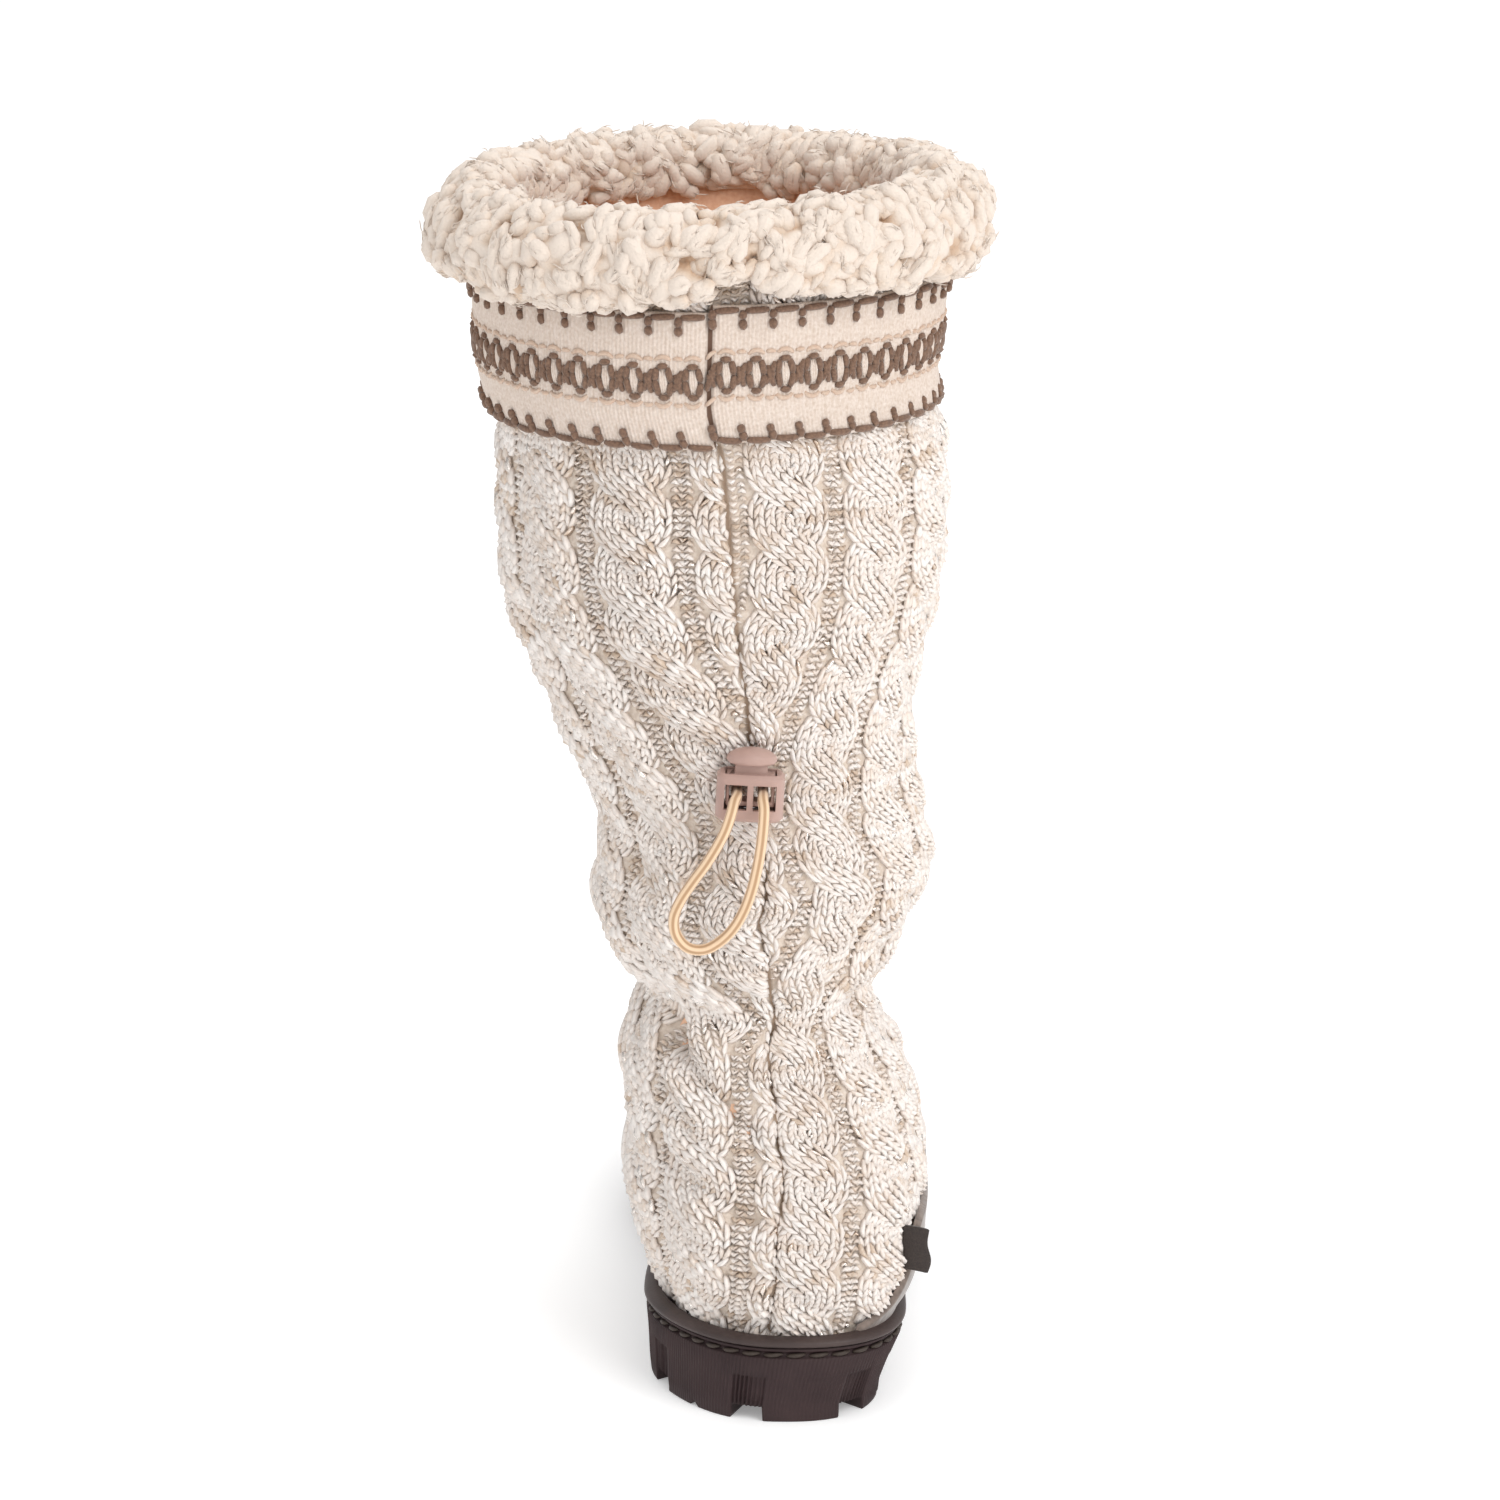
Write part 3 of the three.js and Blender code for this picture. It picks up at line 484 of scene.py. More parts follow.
class Knit:
    """The cable pattern: rows from the bottom up, columns from the back seam, heights from the face."""

    HOME = 2.0
    SECTION = 2.35
    DIP = 0.55
    PRESS_BAND = 0.7
    SEAM_DEPTH = 2.2
    SEAM_WIDTH = 1.4
    SEAM_EDGE = 0.4
    FRONT_LAP = 0.6
    LAP = 2.0
    TOP = 316.0
    ROOM = 0.3
    TRAVEL = (0.08, 0.92)
    COVER = 1.75
    STRAY = 0.1
    PATCH_COLUMNS = 4

    def __init__(self, values):
        self.row = values.row_height / MM
        self.turn_rows = values.crossing_rows
        self.ground = -values.furrow_depth / MM
        self.body = values.strand_height / MM
        self.swell = values.crossing_swell / MM
        self.aspect = float(column_width(GRAIN_TOP, True)) / self.row
        self.yarn = values.yarn_share
        self.bump = values.purl_share

    def strand(self, share, over):
        """Middle of a strand in columns from the cable's middle, and the angle of its travel: on the way
        down the over strand goes from left to right, the under strand from right to left."""
        low, high = self.TRAVEL
        moved = smooth(low, high, share)
        u = np.clip((share - low) / (high - low), 0, 1)
        speed = 6 * u * (1 - u) / (high - low) / self.turn_rows
        way = np.where(over, 1, -1) * 2 * self.HOME
        return way * (moved - 0.5), np.arctan(way * speed * self.aspect)

    def lift(self, share, over):
        """Height of a strand's crest over the furrows: it swells where it crosses over and dips below."""
        arch = np.sin(np.pi * np.clip(share, 0, 1))
        return np.where(over, self.body + self.swell * arch, self.body * (1 - self.DIP * arch))

    def share_of(self, row):
        """How far down its crossing a row lies, from 0 to 1."""
        return np.mod(-row, self.turn_rows) / self.turn_rows

    def place(self, column, row, rise, right):
        """Points of the lattice at a height over the furrows, flat under the band and sunk at the seam,
        with their normals and how far inside their half of the knit they lie."""
        level = np.interp(row * self.row, FACE.climb, FACE.levels)
        height = FACE.height_at(level)
        beside = beside_seam(column, height, right) * np.where(right, 1, -1)
        held = np.maximum(beside, self.SEAM_EDGE) * np.where(right, 1, -1)
        share = (seam_at(height) + held) / FACE.girth_at(level)
        points, normals = FACE.place(level, share, self.height_out(height, held, rise))
        room = np.minimum(beside, half_girth(height, right) + self.FRONT_LAP - beside)
        return points, normals, room

    def height_out(self, height, beside, rise):
        """Distance from the upper's face of a height over the furrows."""
        under_band = smooth(BAND_BOTTOM - 10, BAND_BOTTOM, height)
        over_band = smooth(BAND_TOP - 3, BAND_TOP + 3, height)
        pressed = 1 - self.PRESS_BAND * under_band * (1 - over_band)
        return self.ground + rise * pressed - self.SEAM_DEPTH * np.exp(-(beside / self.SEAM_WIDTH) ** 2)

    def column_at(self, height, beside):
        """The lattice column at a distance from the seam, which undoes beside_seam."""
        right = beside >= 0
        count = np.where(right, COLUMNS_RIGHT, COLUMNS_LEFT)
        free = np.maximum(height, GRAIN_FOOT)
        plain = column_width(free, right)
        away = np.abs(beside) * plain / column_width(height, right)
        column = count - (half_girth(free, right) - away) / plain
        return np.where(right, np.maximum(column, 0), np.minimum(-column, -0.001))

    def relief(self, column, row, right):
        """Height of the cable body: the higher of two strands, each a parabola across its width."""
        offset = cable_offset(column, right) / CABLE_SPREAD
        share = self.share_of(row)
        rise = np.zeros(np.shape(offset))
        for over in (True, False):
            middle, angle = self.strand(share, over)
            across = (offset - middle) * np.cos(angle) / self.SECTION
            rise = np.maximum(rise, self.lift(share, over) * (1 - across ** 2))
        return rise

    def legs(self, rng):
        """Start, middle, end, normal, column, streak and thickness of every yarn leg. A knit stitch is two
        legs that close to a V along their strand, row by row square to it; a purl stitch is one plump grain
        along the row, in every other column half a row up and bowed the other way."""
        rows = np.arange(1, int(FACE.climb[-1] / self.row) - 2)[:, None]
        columns = np.concatenate([np.arange(-COLUMNS_LEFT - FRONT_COLUMNS, CABLE_COLUMNS),
                                  np.arange(-CABLE_COLUMNS, COLUMNS_RIGHT + FRONT_COLUMNS)]) + 0.5
        row, column = np.broadcast_arrays(rows, columns[None, :])
        first_right = COLUMNS_LEFT + FRONT_COLUMNS + CABLE_COLUMNS
        right = np.broadcast_to(np.arange(columns.size) >= first_right, row.shape)
        home = np.where(right, np.maximum(column, 0.5), np.minimum(column, -0.5))
        patch = rng.random((rows.size, columns.size // self.PATCH_COLUMNS + 2))
        spread = np.arange(columns.size) / self.PATCH_COLUMNS
        streaks = np.array([np.interp(spread, np.arange(patch.shape[1]), line) for line in patch])
        offset = cable_offset(column, right)
        purl = np.abs(offset) > CABLE_COLUMNS / 2
        over = offset < 0
        in_strand = offset + np.where(over, self.HOME, -self.HOME)
        centre_column = column - offset
        share = self.share_of(row)

        def knit_point(step, apart, deep):
            at = share - step / self.turn_rows
            middle, angle = self.strand(at, over)
            out = in_strand + apart
            across = middle + out * np.cos(angle)
            rise = self.lift(at, over) * (1 - (in_strand / self.SECTION) ** 2) + deep
            return across, row + step + out * np.sin(angle) * self.aspect, rise

        across, at_row, _ = knit_point(0.0, 0.0, 0.0)
        over_middle, over_angle = self.strand(share + (row - at_row) / self.turn_rows, True)
        height = FACE.height_at(np.interp(row * self.row, FACE.climb, FACE.levels))
        over_place = beside_seam(centre_column + CABLE_SPREAD * over_middle, height, right)
        inside = over_place * np.where(right, 1, -1) > 0
        covered = ~over & inside & (np.abs(across - over_middle) * np.cos(over_angle) < self.COVER)
        knit = ~purl & ~covered
        stray = rng.uniform(-self.STRAY, self.STRAY, (2, *row.shape))

        legs = []
        for side in (-1, 1):
            ends = []
            for step, apart, deep in KNIT_LEG:
                across, at_row, rise = knit_point(step, side * apart, deep)
                at_column = centre_column + CABLE_SPREAD * across + stray[0]
                at_row = at_row + stray[1]
                ends.append(self.place(at_column[knit], at_row[knit], rise[knit], right[knit]))
            legs.append((ends, home[knit], streaks[knit], np.full(knit.sum(), self.yarn)))
        ends = []
        odd = np.mod(np.floor(column), 2)
        purl_column = centre_column + spread_out(offset) + stray[0]
        for step, bowed, deep in PURL_BUMP:
            at_row = row + odd / 2 + (1 - 2 * odd) * bowed + stray[1]
            rise = np.full(purl.sum(), deep)
            ends.append(self.place((purl_column + step)[purl], at_row[purl], rise, right[purl]))
        # The purl grains' tone is lowered: painted shade in the furrows.
        legs.append((ends, home[purl], streaks[purl] - PURL_PAINTED_SHADE, np.full(purl.sum(), self.bump)))

        def joined(read):
            return np.concatenate([read(leg) for leg in legs])

        start, crest, end = (joined(lambda leg, k=k: leg[0][k][0]) for k in range(3))
        up, room = (joined(lambda leg, k=k: leg[0][1][k]) for k in (1, 2))
        home, streak, thick = (joined(lambda leg, k=k: leg[k]) for k in (1, 2, 3))
        height = crest[:, 2]
        shown = ~under_vamp(crest, self.LAP) & (height > sole_top(crest[:, 1]) + self.LAP)
        behind_band = (height > BAND_BOTTOM + 3) & (height < BAND_TOP - 2)
        shown &= ~behind_band & (height < self.TOP) & (room > self.ROOM)
        middle = 2 * crest - (start + end) / 2
        return [part[shown] for part in (start, middle, end, up, home, streak, thick)]


# Rings of a yarn leg: place along it, share of its radius
LEG_SIDES = 3
LEG_RINGS = np.array([(0.14, 0.75), (0.5, 1.0), (0.86, 0.75)])
LEG_RINGS_FEW = np.array([(0.25, 0.95), (0.75, 0.95)])
GROUND_COLUMNS = 210
GROUND_CROWDING = 0.7
GROUND_SINK = 0.45
GROUND_FLOOR = -0.1
SEAM_CLEFT = 0.9
TONE_OF_STREAK = 0.62


def make_knit(values, yarn, ground):
    """The knit: a thin closed ground that follows the cables from below, and its yarn in four pieces."""
    knit = Knit(values)
    rng = np.random.default_rng(11)
    row = np.arange(int(FACE.climb[-1] / knit.row) + 1)[:, None]
    level = np.interp(row * knit.row, FACE.climb, FACE.levels)
    even = np.arange(GROUND_COLUMNS) / GROUND_COLUMNS
    share = (even - GROUND_CROWDING * np.sin(TAU * even) / TAU)[None, :]
    height = FACE.height_at(level)
    beside = (np.mod(share + 0.5, 1) - 0.5) * FACE.girth_at(level) - seam_at(height)
    cables = knit.relief(knit.column_at(height, beside), row, beside >= 0)
    body = np.maximum(cables - GROUND_SINK, GROUND_FLOOR)
    cleft = SEAM_CLEFT * np.exp(-(beside / SEAM_CLEFT) ** 2)
    out = np.maximum(knit.height_out(height, beside, body) - cleft, -WALL + 0.25)
    outside, _ = FACE.place(level, share, out)
    inside, _ = FACE.place(level[::-3], share, -WALL + 0.02)
    # Painted shadow: a dark line along the back seam below the band, kept in the cleft value and mixed into
    # the ground's colour.
    dark = np.exp(-(beside / SEAM_CLEFT) ** 4) * (height < BAND_BOTTOM)
    marks = {"cleft": np.concatenate([dark, np.zeros(inside.shape[:2])])}
    walls = np.concatenate([outside, inside])
    ring_solid("knit_ground", walls, "knit", ground, replaced=("upper",), values=marks)

    start, middle, end, up, home, streak, thick = knit.legs(rng)
    radius = thick * column_width(middle[:, 2], home > 0)
    tone = np.clip(TONE_OF_STREAK * streak + (1 - TONE_OF_STREAK) * rng.random(len(streak)), 0, 1)
    spark = rng.random(len(tone))
    back_left, back_right = -COLUMNS_LEFT / 2, COLUMNS_RIGHT / 2
    parts = (
        ("knit_yarn_front_left", home < back_left, LEG_RINGS_FEW),
        ("knit_yarn_back_left", (home >= back_left) & (home < 0), LEG_RINGS),
        ("knit_yarn_back_right", (home >= 0) & (home < back_right), LEG_RINGS),
        ("knit_yarn_front_right", home >= back_right, LEG_RINGS_FEW),
    )
    for name, chosen, rings in parts:
        legs = [part[chosen] for part in (start, middle, end, up, radius)]
        points, quads, caps, along = spindles(*legs, *rings.T, LEG_SIDES)
        each = len(points) // chosen.sum()
        marks = {"along": along}
        for label, value in (("tone", tone), ("spark", spark)):
            marks[label] = np.repeat(value[chosen], each)
        make_piece(name, points, [quads, caps], "knit", yarn, values=marks)


LINING_ROWS = 45
LINING_COLUMNS = 96
LINING_OUTSIDE = -WALL + 0.05
LINING_INSIDE = -WALL - 0.6


def make_lining(material):
    """The smooth lining: a thin closed shell just inside the knit wall."""
    levels = np.linspace(0.1, TOP_LEVEL - 0.4, LINING_ROWS)[:, None]
    shares = (np.arange(LINING_COLUMNS) / LINING_COLUMNS)[None, :]
    outside, _ = FACE.place(levels, shares, LINING_OUTSIDE)
    inside, _ = FACE.place(levels[::-1], shares, LINING_INSIDE)
    ring_solid("lining", np.concatenate([outside, inside]), "lining", material)


# Section of the fleece collar: distance out from the upper's top, height, share of the hem's hang
CUFF_PROFILE = np.array([
    (0.6, 311, 0), (3.2, 310.2, 1), (7.6, 309.6, 1), (10.2, 312.2, 0.8), (10.6, 316, 0.4),
    (9.2, 320.4, 0), (5.2, 325, 0), (-0.5, 327.8, 0), (-7, 325.8, 0), (-9.5, 319.5, 0),
    (-8.4, 313.6, 0), (-5.4, 310.6, 0), (-3.3, 312, 0), (-1.5, 314, 0),
])
# How far the hem hangs: share of the girth from the back seam over the outer side, millimetres
CUFF_HEM = np.array([
    (0, -3.4), (0.03, -0.8), (0.06, 2.0), (0.1, 4.2), (0.15, 4.8), (0.22, 4.6), (0.3, 3.2),
    (0.42, 0), (0.7, 0), (0.8, 1.5), (0.9, 4), (0.97, 3.6), (1, 2.5),
])
CUFF_ROWS = 96
CUFF_COLUMNS = 430
CUFF_BARE = 3.2
FRONT_DROP = 2.2
CUFF_SLANT = 0.045
CUFF_MIDDLE = (-18.0, 56.0)
CLUMP_SIZE = 10.5
CLUMP_RELIEF = 2.4
NUB_SIZE = 5.0
NUB_RELIEF = 1.8
NUB_SOFTNESS = 5.0
NUB_SLIM = (1.0, 1.7)
NUB_REACH = 0.6
PARTING_DEPTH = 2.4
PARTING_WIDTH = 2.0
FLEECE_PROUD = 1.4
FLEECE_SUNK = 0.6
# Painted shade on the fleece: the colour darkens with depth below the clumps over this many millimetres,
# and by this share on the collar's inner side
FLEECE_DEPTH = 3.4
INNER_SHADE = 0.35
CURL_TURN = 0.8
CURL_BEND = 0.45
CURL_SINK = 1.3
CURL_TIP_SINK = (0.2, 1.1)
CURL_RISE = (0.0, 1.0)
CURL_LONG = (0.55, 1.35)
CURL_PLUMP = (0.55, 1.3)
CURL_SIDES = 6
WISP_SIDES = 3
WISP_RADIUS = 0.2
WISP_REACH = (2.0, 4.8)
WISP_RISE = (0.6, 1.6)
WISP_TIP = (-0.8, 0.7)
# Least and most of a wisp's place along its lock, turn round it and swing aside
WISP_RANGE = (0.1, -1.3, -1.2), (0.7, 1.3, 1.2)
# Rings of a curl and of a wisp: place along it, share of its radius
CURL_RINGS = np.array([(0.05, 0.6), (0.3, 1.0), (0.7, 1.0), (0.95, 0.6)])
WISP_RINGS = np.array([(0.3, 1.0), (0.7, 0.8)])


def cuff_face(profile_at, share):
    """Points and outward normals of the collar: its section carried round the upper's top edge, the inner
    side lower than the outer, the front's rim lower than the back's, the hem of uneven length."""
    top = np.full(np.shape(share), float(TOP_LEVEL))
    edge, away = FACE.read(FACE.points, top, share), FACE.read(FACE.normals, top, share)
    away = unit(away * (1, 1, 0))
    closed = np.concatenate([CUFF_PROFILE[-2:], CUFF_PROFILE, CUFF_PROFILE[:3]])
    out, z, hangs = np.moveaxis(through(closed, profile_at + 2), -1, 0)
    run = unit((through(closed, profile_at + 2.05) - through(closed, profile_at + 1.95))[..., :2])
    points = edge + away * out[..., None]
    ahead = points[..., 1] - CUFF_MIDDLE[1]
    lean = CUFF_SLANT * (points[..., 0] - CUFF_MIDDLE[0]) * (1 - 0.8 * smooth(-30, 40, ahead))
    lowered = FRONT_DROP * smooth(0, 60, ahead) * np.clip((z - 310) / 17, 0, 1)
    points[..., 2] = z + lean - lowered - hangs * np.interp(share, CUFF_HEM[:, 0], CUFF_HEM[:, 1])
    normals = np.concatenate([away[..., :2] * run[..., 1:], -run[..., :1]], axis=-1)
    return points, normals


def pillows(across, up, whole, size, rng):
    """Height up to about 1 and tone of a field of soft pillows: long paraboloids on a jittered lattice,
    joined by a soft maximum, the logarithm of the sum of their powers."""
    columns = int(whole / size)
    rows = int(up.max() / size) + 3
    cell = whole / columns
    shift_x, shift_y, tone = rng.uniform(0, 1, (3, rows, columns))
    turn = rng.uniform(0, TAU, (rows, columns))
    slim = rng.uniform(*NUB_SLIM, (rows, columns))
    i, j = np.floor(up / size).astype(int), np.floor(across / cell).astype(int)
    total, shade = np.zeros(up.shape), np.zeros(up.shape)
    for di in range(-2, 3):
        for dj in range(-2, 3):
            r, c = np.clip(i + di, 0, rows - 1), np.mod(j + dj, columns)
            x = across - (j + dj + shift_x[r, c]) * cell
            y = up - (i + di + shift_y[r, c]) * size
            along = (x * np.cos(turn[r, c]) + y * np.sin(turn[r, c])) / slim[r, c]
            aside = (y * np.cos(turn[r, c]) - x * np.sin(turn[r, c])) * slim[r, c]
            weight = np.exp(NUB_SOFTNESS * (1 - (along ** 2 + aside ** 2) / (NUB_REACH * size ** 2)))
            total += weight
            shade += weight * tone[r, c]
    return np.log(total) / NUB_SOFTNESS, shade / total


def make_cuff(values, material):
    """The fleece collar: a closed ring whose shown face swells in clumps of soft nubs, parted at the back
    seam, with plump curled locks on it and fine wisps along the locks."""
    rng = np.random.default_rng(7)
    profile = (np.arange(CUFF_ROWS) * len(CUFF_PROFILE) / CUFF_ROWS)[:, None]
    profile, share = np.broadcast_arrays(profile, (np.arange(CUFF_COLUMNS) / CUFF_COLUMNS)[None, :])
    face, normals = cuff_face(profile, share)
    whole = float(FACE.girth[-1])
    steps = np.linalg.norm(np.diff(face[:, 100], axis=0), axis=1)
    up = np.broadcast_to(np.concatenate([[0], np.cumsum(steps)])[:, None], share.shape)
    clump, _ = pillows(share * whole, up, whole, CLUMP_SIZE, rng)
    nub, tone = pillows(share * whole, up, whole, NUB_SIZE, rng)
    last = len(CUFF_PROFILE) - CUFF_BARE
    shown = smooth(0, 0.8, profile) * (1 - smooth(last - 0.5, last + 0.3, profile))
    beside = (np.mod(share + 0.5, 1) - 0.5) * whole
    parting = PARTING_DEPTH * np.exp(-(beside / PARTING_WIDTH) ** 2)
    height = CLUMP_RELIEF * (clump - 1) + NUB_RELIEF * (nub - 1)
    rise = (height + FLEECE_PROUD - parting) * shown - FLEECE_SUNK * (1 - shown)
    surface = face + normals * rise[..., None]
    # Painted shade: the fleece's colour darkens deep between the clumps, in the back seam's parting and on
    # the collar's inner side.
    inside = smooth(7.5, 9.5, profile)
    depth = np.clip(1 + (height - parting) / FLEECE_DEPTH, 0, 1) * (1 - INNER_SHADE * inside)
    marks = {"depth": depth, "tone": tone}
    ring_solid("cuff_fleece", surface, "fleece", material, replaced=("cuff",), values=marks)

    count = values.curl_count
    chosen = rng.choice(np.flatnonzero(shown.ravel() > 0.9), count, replace=False)
    root, normal = surface.reshape(-1, 3)[chosen], normals.reshape(-1, 3)[chosen]
    along = unit(np.cross(normal, (0.1, 0.2, 1.0)))
    down = np.cross(along, normal)
    turn = rng.normal(0, CURL_TURN, count)[:, None]
    lie = down * np.cos(turn) + along * np.sin(turn)
    length = values.curl_length / MM * rng.uniform(*CURL_LONG, count)[:, None]
    bend = np.cross(lie, normal) * rng.uniform(-CURL_BEND, CURL_BEND, count)[:, None] * length
    start = root - lie * length * 0.5 - normal * CURL_SINK
    end = root + lie * length * 0.5 - normal * rng.uniform(*CURL_TIP_SINK, count)[:, None]
    middle = root + bend + normal * rng.uniform(*CURL_RISE, count)[:, None]
    radius = values.curl_width / MM / 2 * rng.uniform(*CURL_PLUMP, count)
    points, quads, caps, way = spindles(start, middle, end, normal, radius, *CURL_RINGS.T, CURL_SIDES)
    each = len(points) // count
    # Painted shade: each curl is darker at its ends than on its crest, and darker where its root lies deep.
    crest = 1 - (2 * way - 1) ** 2
    shade = np.clip(0.36 + 0.42 * crest + 0.4 * (np.repeat(depth.ravel()[chosen], each) - 0.5), 0, 1)
    marks = {"depth": shade, "tone": np.repeat(rng.random(count), each)}
    make_piece("cuff_curls", points, [quads, caps], "fleece", material, values=marks)

    wisps = values.wisp_count
    owner = rng.integers(0, count, wisps)
    at, around, swing = rng.uniform(*WISP_RANGE, (wisps, 3)).T[..., None]
    spine = (1 - at) ** 2 * start[owner] + 2 * at * (1 - at) * middle[owner] + at ** 2 * end[owner]
    aside = np.cross(lie[owner], normal[owner])
    out = normal[owner] * np.cos(around) + aside * np.sin(around)
    foot = spine + out * 0.85 * radius[owner][:, None]
    reach = lie[owner] * rng.uniform(*WISP_REACH, (wisps, 1))
    bowed = foot + 0.5 * reach + out * rng.uniform(*WISP_RISE, (wisps, 1)) + aside * swing
    tip = foot + reach + out * rng.uniform(*WISP_TIP, (wisps, 1))
    points, quads, caps, way = spindles(foot, bowed, tip, out, WISP_RADIUS, *WISP_RINGS.T, WISP_SIDES)
    each = len(points) // wisps
    # Painted shade: the wisps are a little darker at their feet.
    marks = {"depth": 0.93 + 0.07 * way, "tone": np.repeat(rng.random(wisps), each)}
    make_piece("cuff_wisps", points, [quads, caps], "fleece", material, values=marks)


BAND_OUT = 1.5
BAND_RIB_DEPTH = 0.16
BAND_RIB_STEPS = 4
BAND_EDGE = 0.8
BAND_JOG = 2.0
BAND_SEAM_GAP = 0.4
BAND_SEAM_DEPTH = 1.1
BAND_SEAM_WIDTH = 0.9
BAND_MIDDLE = (BAND_BOTTOM + BAND_TOP) / 2
BAND_HEIGHT = BAND_TOP - BAND_BOTTOM
BAND_GIRTH = float(FACE.girth_at(FACE.level_at(BAND_MIDDLE)))


def band_place(arc, height, out):
    """A point of the band: arc from the back seam to the right, height up the back line, distance from the
    face. The tape's two ends meet at the seam a little out of step."""
    height = height + BAND_JOG * (0.5 - np.mod(arc / BAND_GIRTH, 1))
    level = FACE.level_at(height)
    share = (seam_at(height) + arc) / BAND_GIRTH
    return FACE.place(level, share, out)


# Strokes of one repeat of the band: start across, start up, end across, end up, bow up, thickness,
# as shares of the repeat or of the band's height, thickness in millimetres
BROWN_STROKES = np.array([
    (0.05, 0.965, 0.9, 0.97, 0.008, 1.95),
    (0.02, 0.965, -0.02, 0.91, 0, 2.2),
    (-0.02, 0.9, 0.03, 0.84, 0, 2.3),
    (0.06, 0.03, 0.91, 0.022, -0.008, 1.95),
    (0.03, 0.03, -0.02, 0.085, 0, 2.2),
    (0, 0.08, -0.03, 0.135, 0, 2.2),
    (0.32, 0.605, 0.66, 0.605, 0.022, 1.8),
    (0.38, 0.395, 0.72, 0.395, -0.022, 1.8),
    (0.3, 0.6, 0.22, 0.5, 0, 1.9),
    (0.22, 0.52, 0.38, 0.4, 0, 1.9),
    (0.66, 0.6, 0.8, 0.5, 0, 1.9),
    (0.8, 0.5, 0.72, 0.4, 0, 1.9),
    (0.17, 0.59, -0.08, 0.47, 0, 1.8),
    (-0.12, 0.56, 0.14, 0.41, 0, 1.8),
    (0.08, 0.52, -0.16, 0.43, 0, 1.8),
    (0.12, 0.48, -0.02, 0.54, 0, 1.8),
])
FAINT_STROKES = np.array([
    (0.2, 0.645, 0.8, 0.645, 0.07, 1.3),
    (0.22, 0.355, 0.82, 0.355, -0.07, 1.3),
    (-0.16, 0.66, 0.16, 0.66, 0.02, 1.16),
    (-0.14, 0.335, 0.18, 0.335, -0.02, 1.16),
])
CREAM_STROKES = np.array([
    (0.4, 0.585, 0.47, 0.415, 0, 0.95),
    (0.49, 0.59, 0.55, 0.41, 0, 0.95),
    (0.58, 0.585, 0.64, 0.42, 0, 0.95),
])
# Rings of a yarn stroke: place along it, share of its radius
STROKE_RINGS = np.array([(0.06, 0.75), (0.3, 1.0), (0.5, 1.0), (0.7, 1.0), (0.94, 0.75)])
STROKE_SIDES = 5
STROKE_SINK = 0.3
STROKE_CREST = 0.45
STROKE_STRAY = 0.012


def stroke_set(strokes, pitch, out, rng):
    """Yarn strokes of every repeat round the band, as spindles laid on it."""
    whole = BAND_GIRTH - 2 * BAND_SEAM_GAP
    repeats = int(whole / pitch)
    step = whole / repeats
    first = BAND_SEAM_GAP + step * np.arange(repeats)[:, None]
    left, low, right, high, bow, thick = strokes.T
    stray = np.moveaxis(rng.normal(0, STROKE_STRAY, (repeats, len(strokes), 4)), -1, 0)

    def laid(across, up, lift):
        placed = band_place(first + step * across, BAND_BOTTOM + BAND_HEIGHT * up, out + lift)
        return [part.reshape(-1, 3) for part in placed]

    start, _ = laid(left + stray[0], low + 0.3 * stray[1], -STROKE_SINK)
    end, _ = laid(right + stray[2], high + 0.3 * stray[3], -STROKE_SINK)
    middle, normal = laid((left + right) / 2, (low + high) / 2 + bow, STROKE_CREST)
    radius = np.tile(thick / 2, repeats)
    points, quads, caps, along = spindles(start, middle, end, normal, radius, *STROKE_RINGS.T, STROKE_SIDES)
    each = len(points) // len(start)
    return points, [quads, caps], {"along": along, "tone": np.repeat(rng.random(len(start)), each)}


def make_band(values, cream, brown, faint):
    """The woven band: a closed tape with fine upright ribs, and its pattern as raised yarn strokes."""
    ribs = int(BAND_GIRTH / (values.rib_pitch / MM))
    columns = ribs * BAND_RIB_STEPS
    arcs = (np.arange(columns) / columns * (BAND_GIRTH - BAND_SEAM_GAP) + BAND_SEAM_GAP / 2)[None, :]
    rib = BAND_RIB_DEPTH * np.cos(TAU * np.arange(columns) / BAND_RIB_STEPS)[None, :]
    edge = np.array([0, 0.3, BAND_EDGE, 9.0])
    heights = np.concatenate([BAND_BOTTOM + edge, [BAND_MIDDLE], (BAND_TOP - edge)[::-1]])[:, None]
    rounding = -0.5 * (1 - closing(np.minimum(heights - BAND_BOTTOM, BAND_TOP - heights) / BAND_EDGE, 2))
    from_seam = np.minimum(arcs, BAND_GIRTH - arcs) - BAND_SEAM_GAP / 2
    seam = BAND_SEAM_DEPTH * np.exp(-(from_seam / BAND_SEAM_WIDTH) ** 2)
    outside, _ = band_place(arcs, heights, BAND_OUT + rib + rounding - seam)
    inside, _ = band_place(arcs, heights[::-4], np.full((3, 1), 0.2))
    closed = np.concatenate([outside, inside])
    # Painted shadow: the band's dark brown mixed into the tape down the seam notch, by the cleft value.
    marks = {"cleft": np.broadcast_to(np.clip(seam, 0, 1) ** 12, closed.shape[:2])}
    ring_solid("band_tape", closed, "woven", cream, replaced=("band",), values=marks)
    rng = np.random.default_rng(5)
    pitch = values.band_pitch / MM
    yarns = (
        ("band_brown_yarn", BROWN_STROKES, 0.25, brown),
        ("band_tan_yarn", FAINT_STROKES, 0.1, faint),
        ("band_cream_yarn", CREAM_STROKES, 0.2, cream),
    )
    for name, strokes, proud, material in yarns:
        points, faces, marks = stroke_set(strokes, pitch, BAND_OUT + proud, rng)
        make_piece(name, points, faces, "woven", material, values=marks)


VAMP_COLUMNS = 320
VAMP_ROWS = 26
VAMP_SEARCH = (640, 1441)
VAMP_SKIN = 0.3
VAMP_PROUD = 1.6
VAMP_EDGE = 1.2


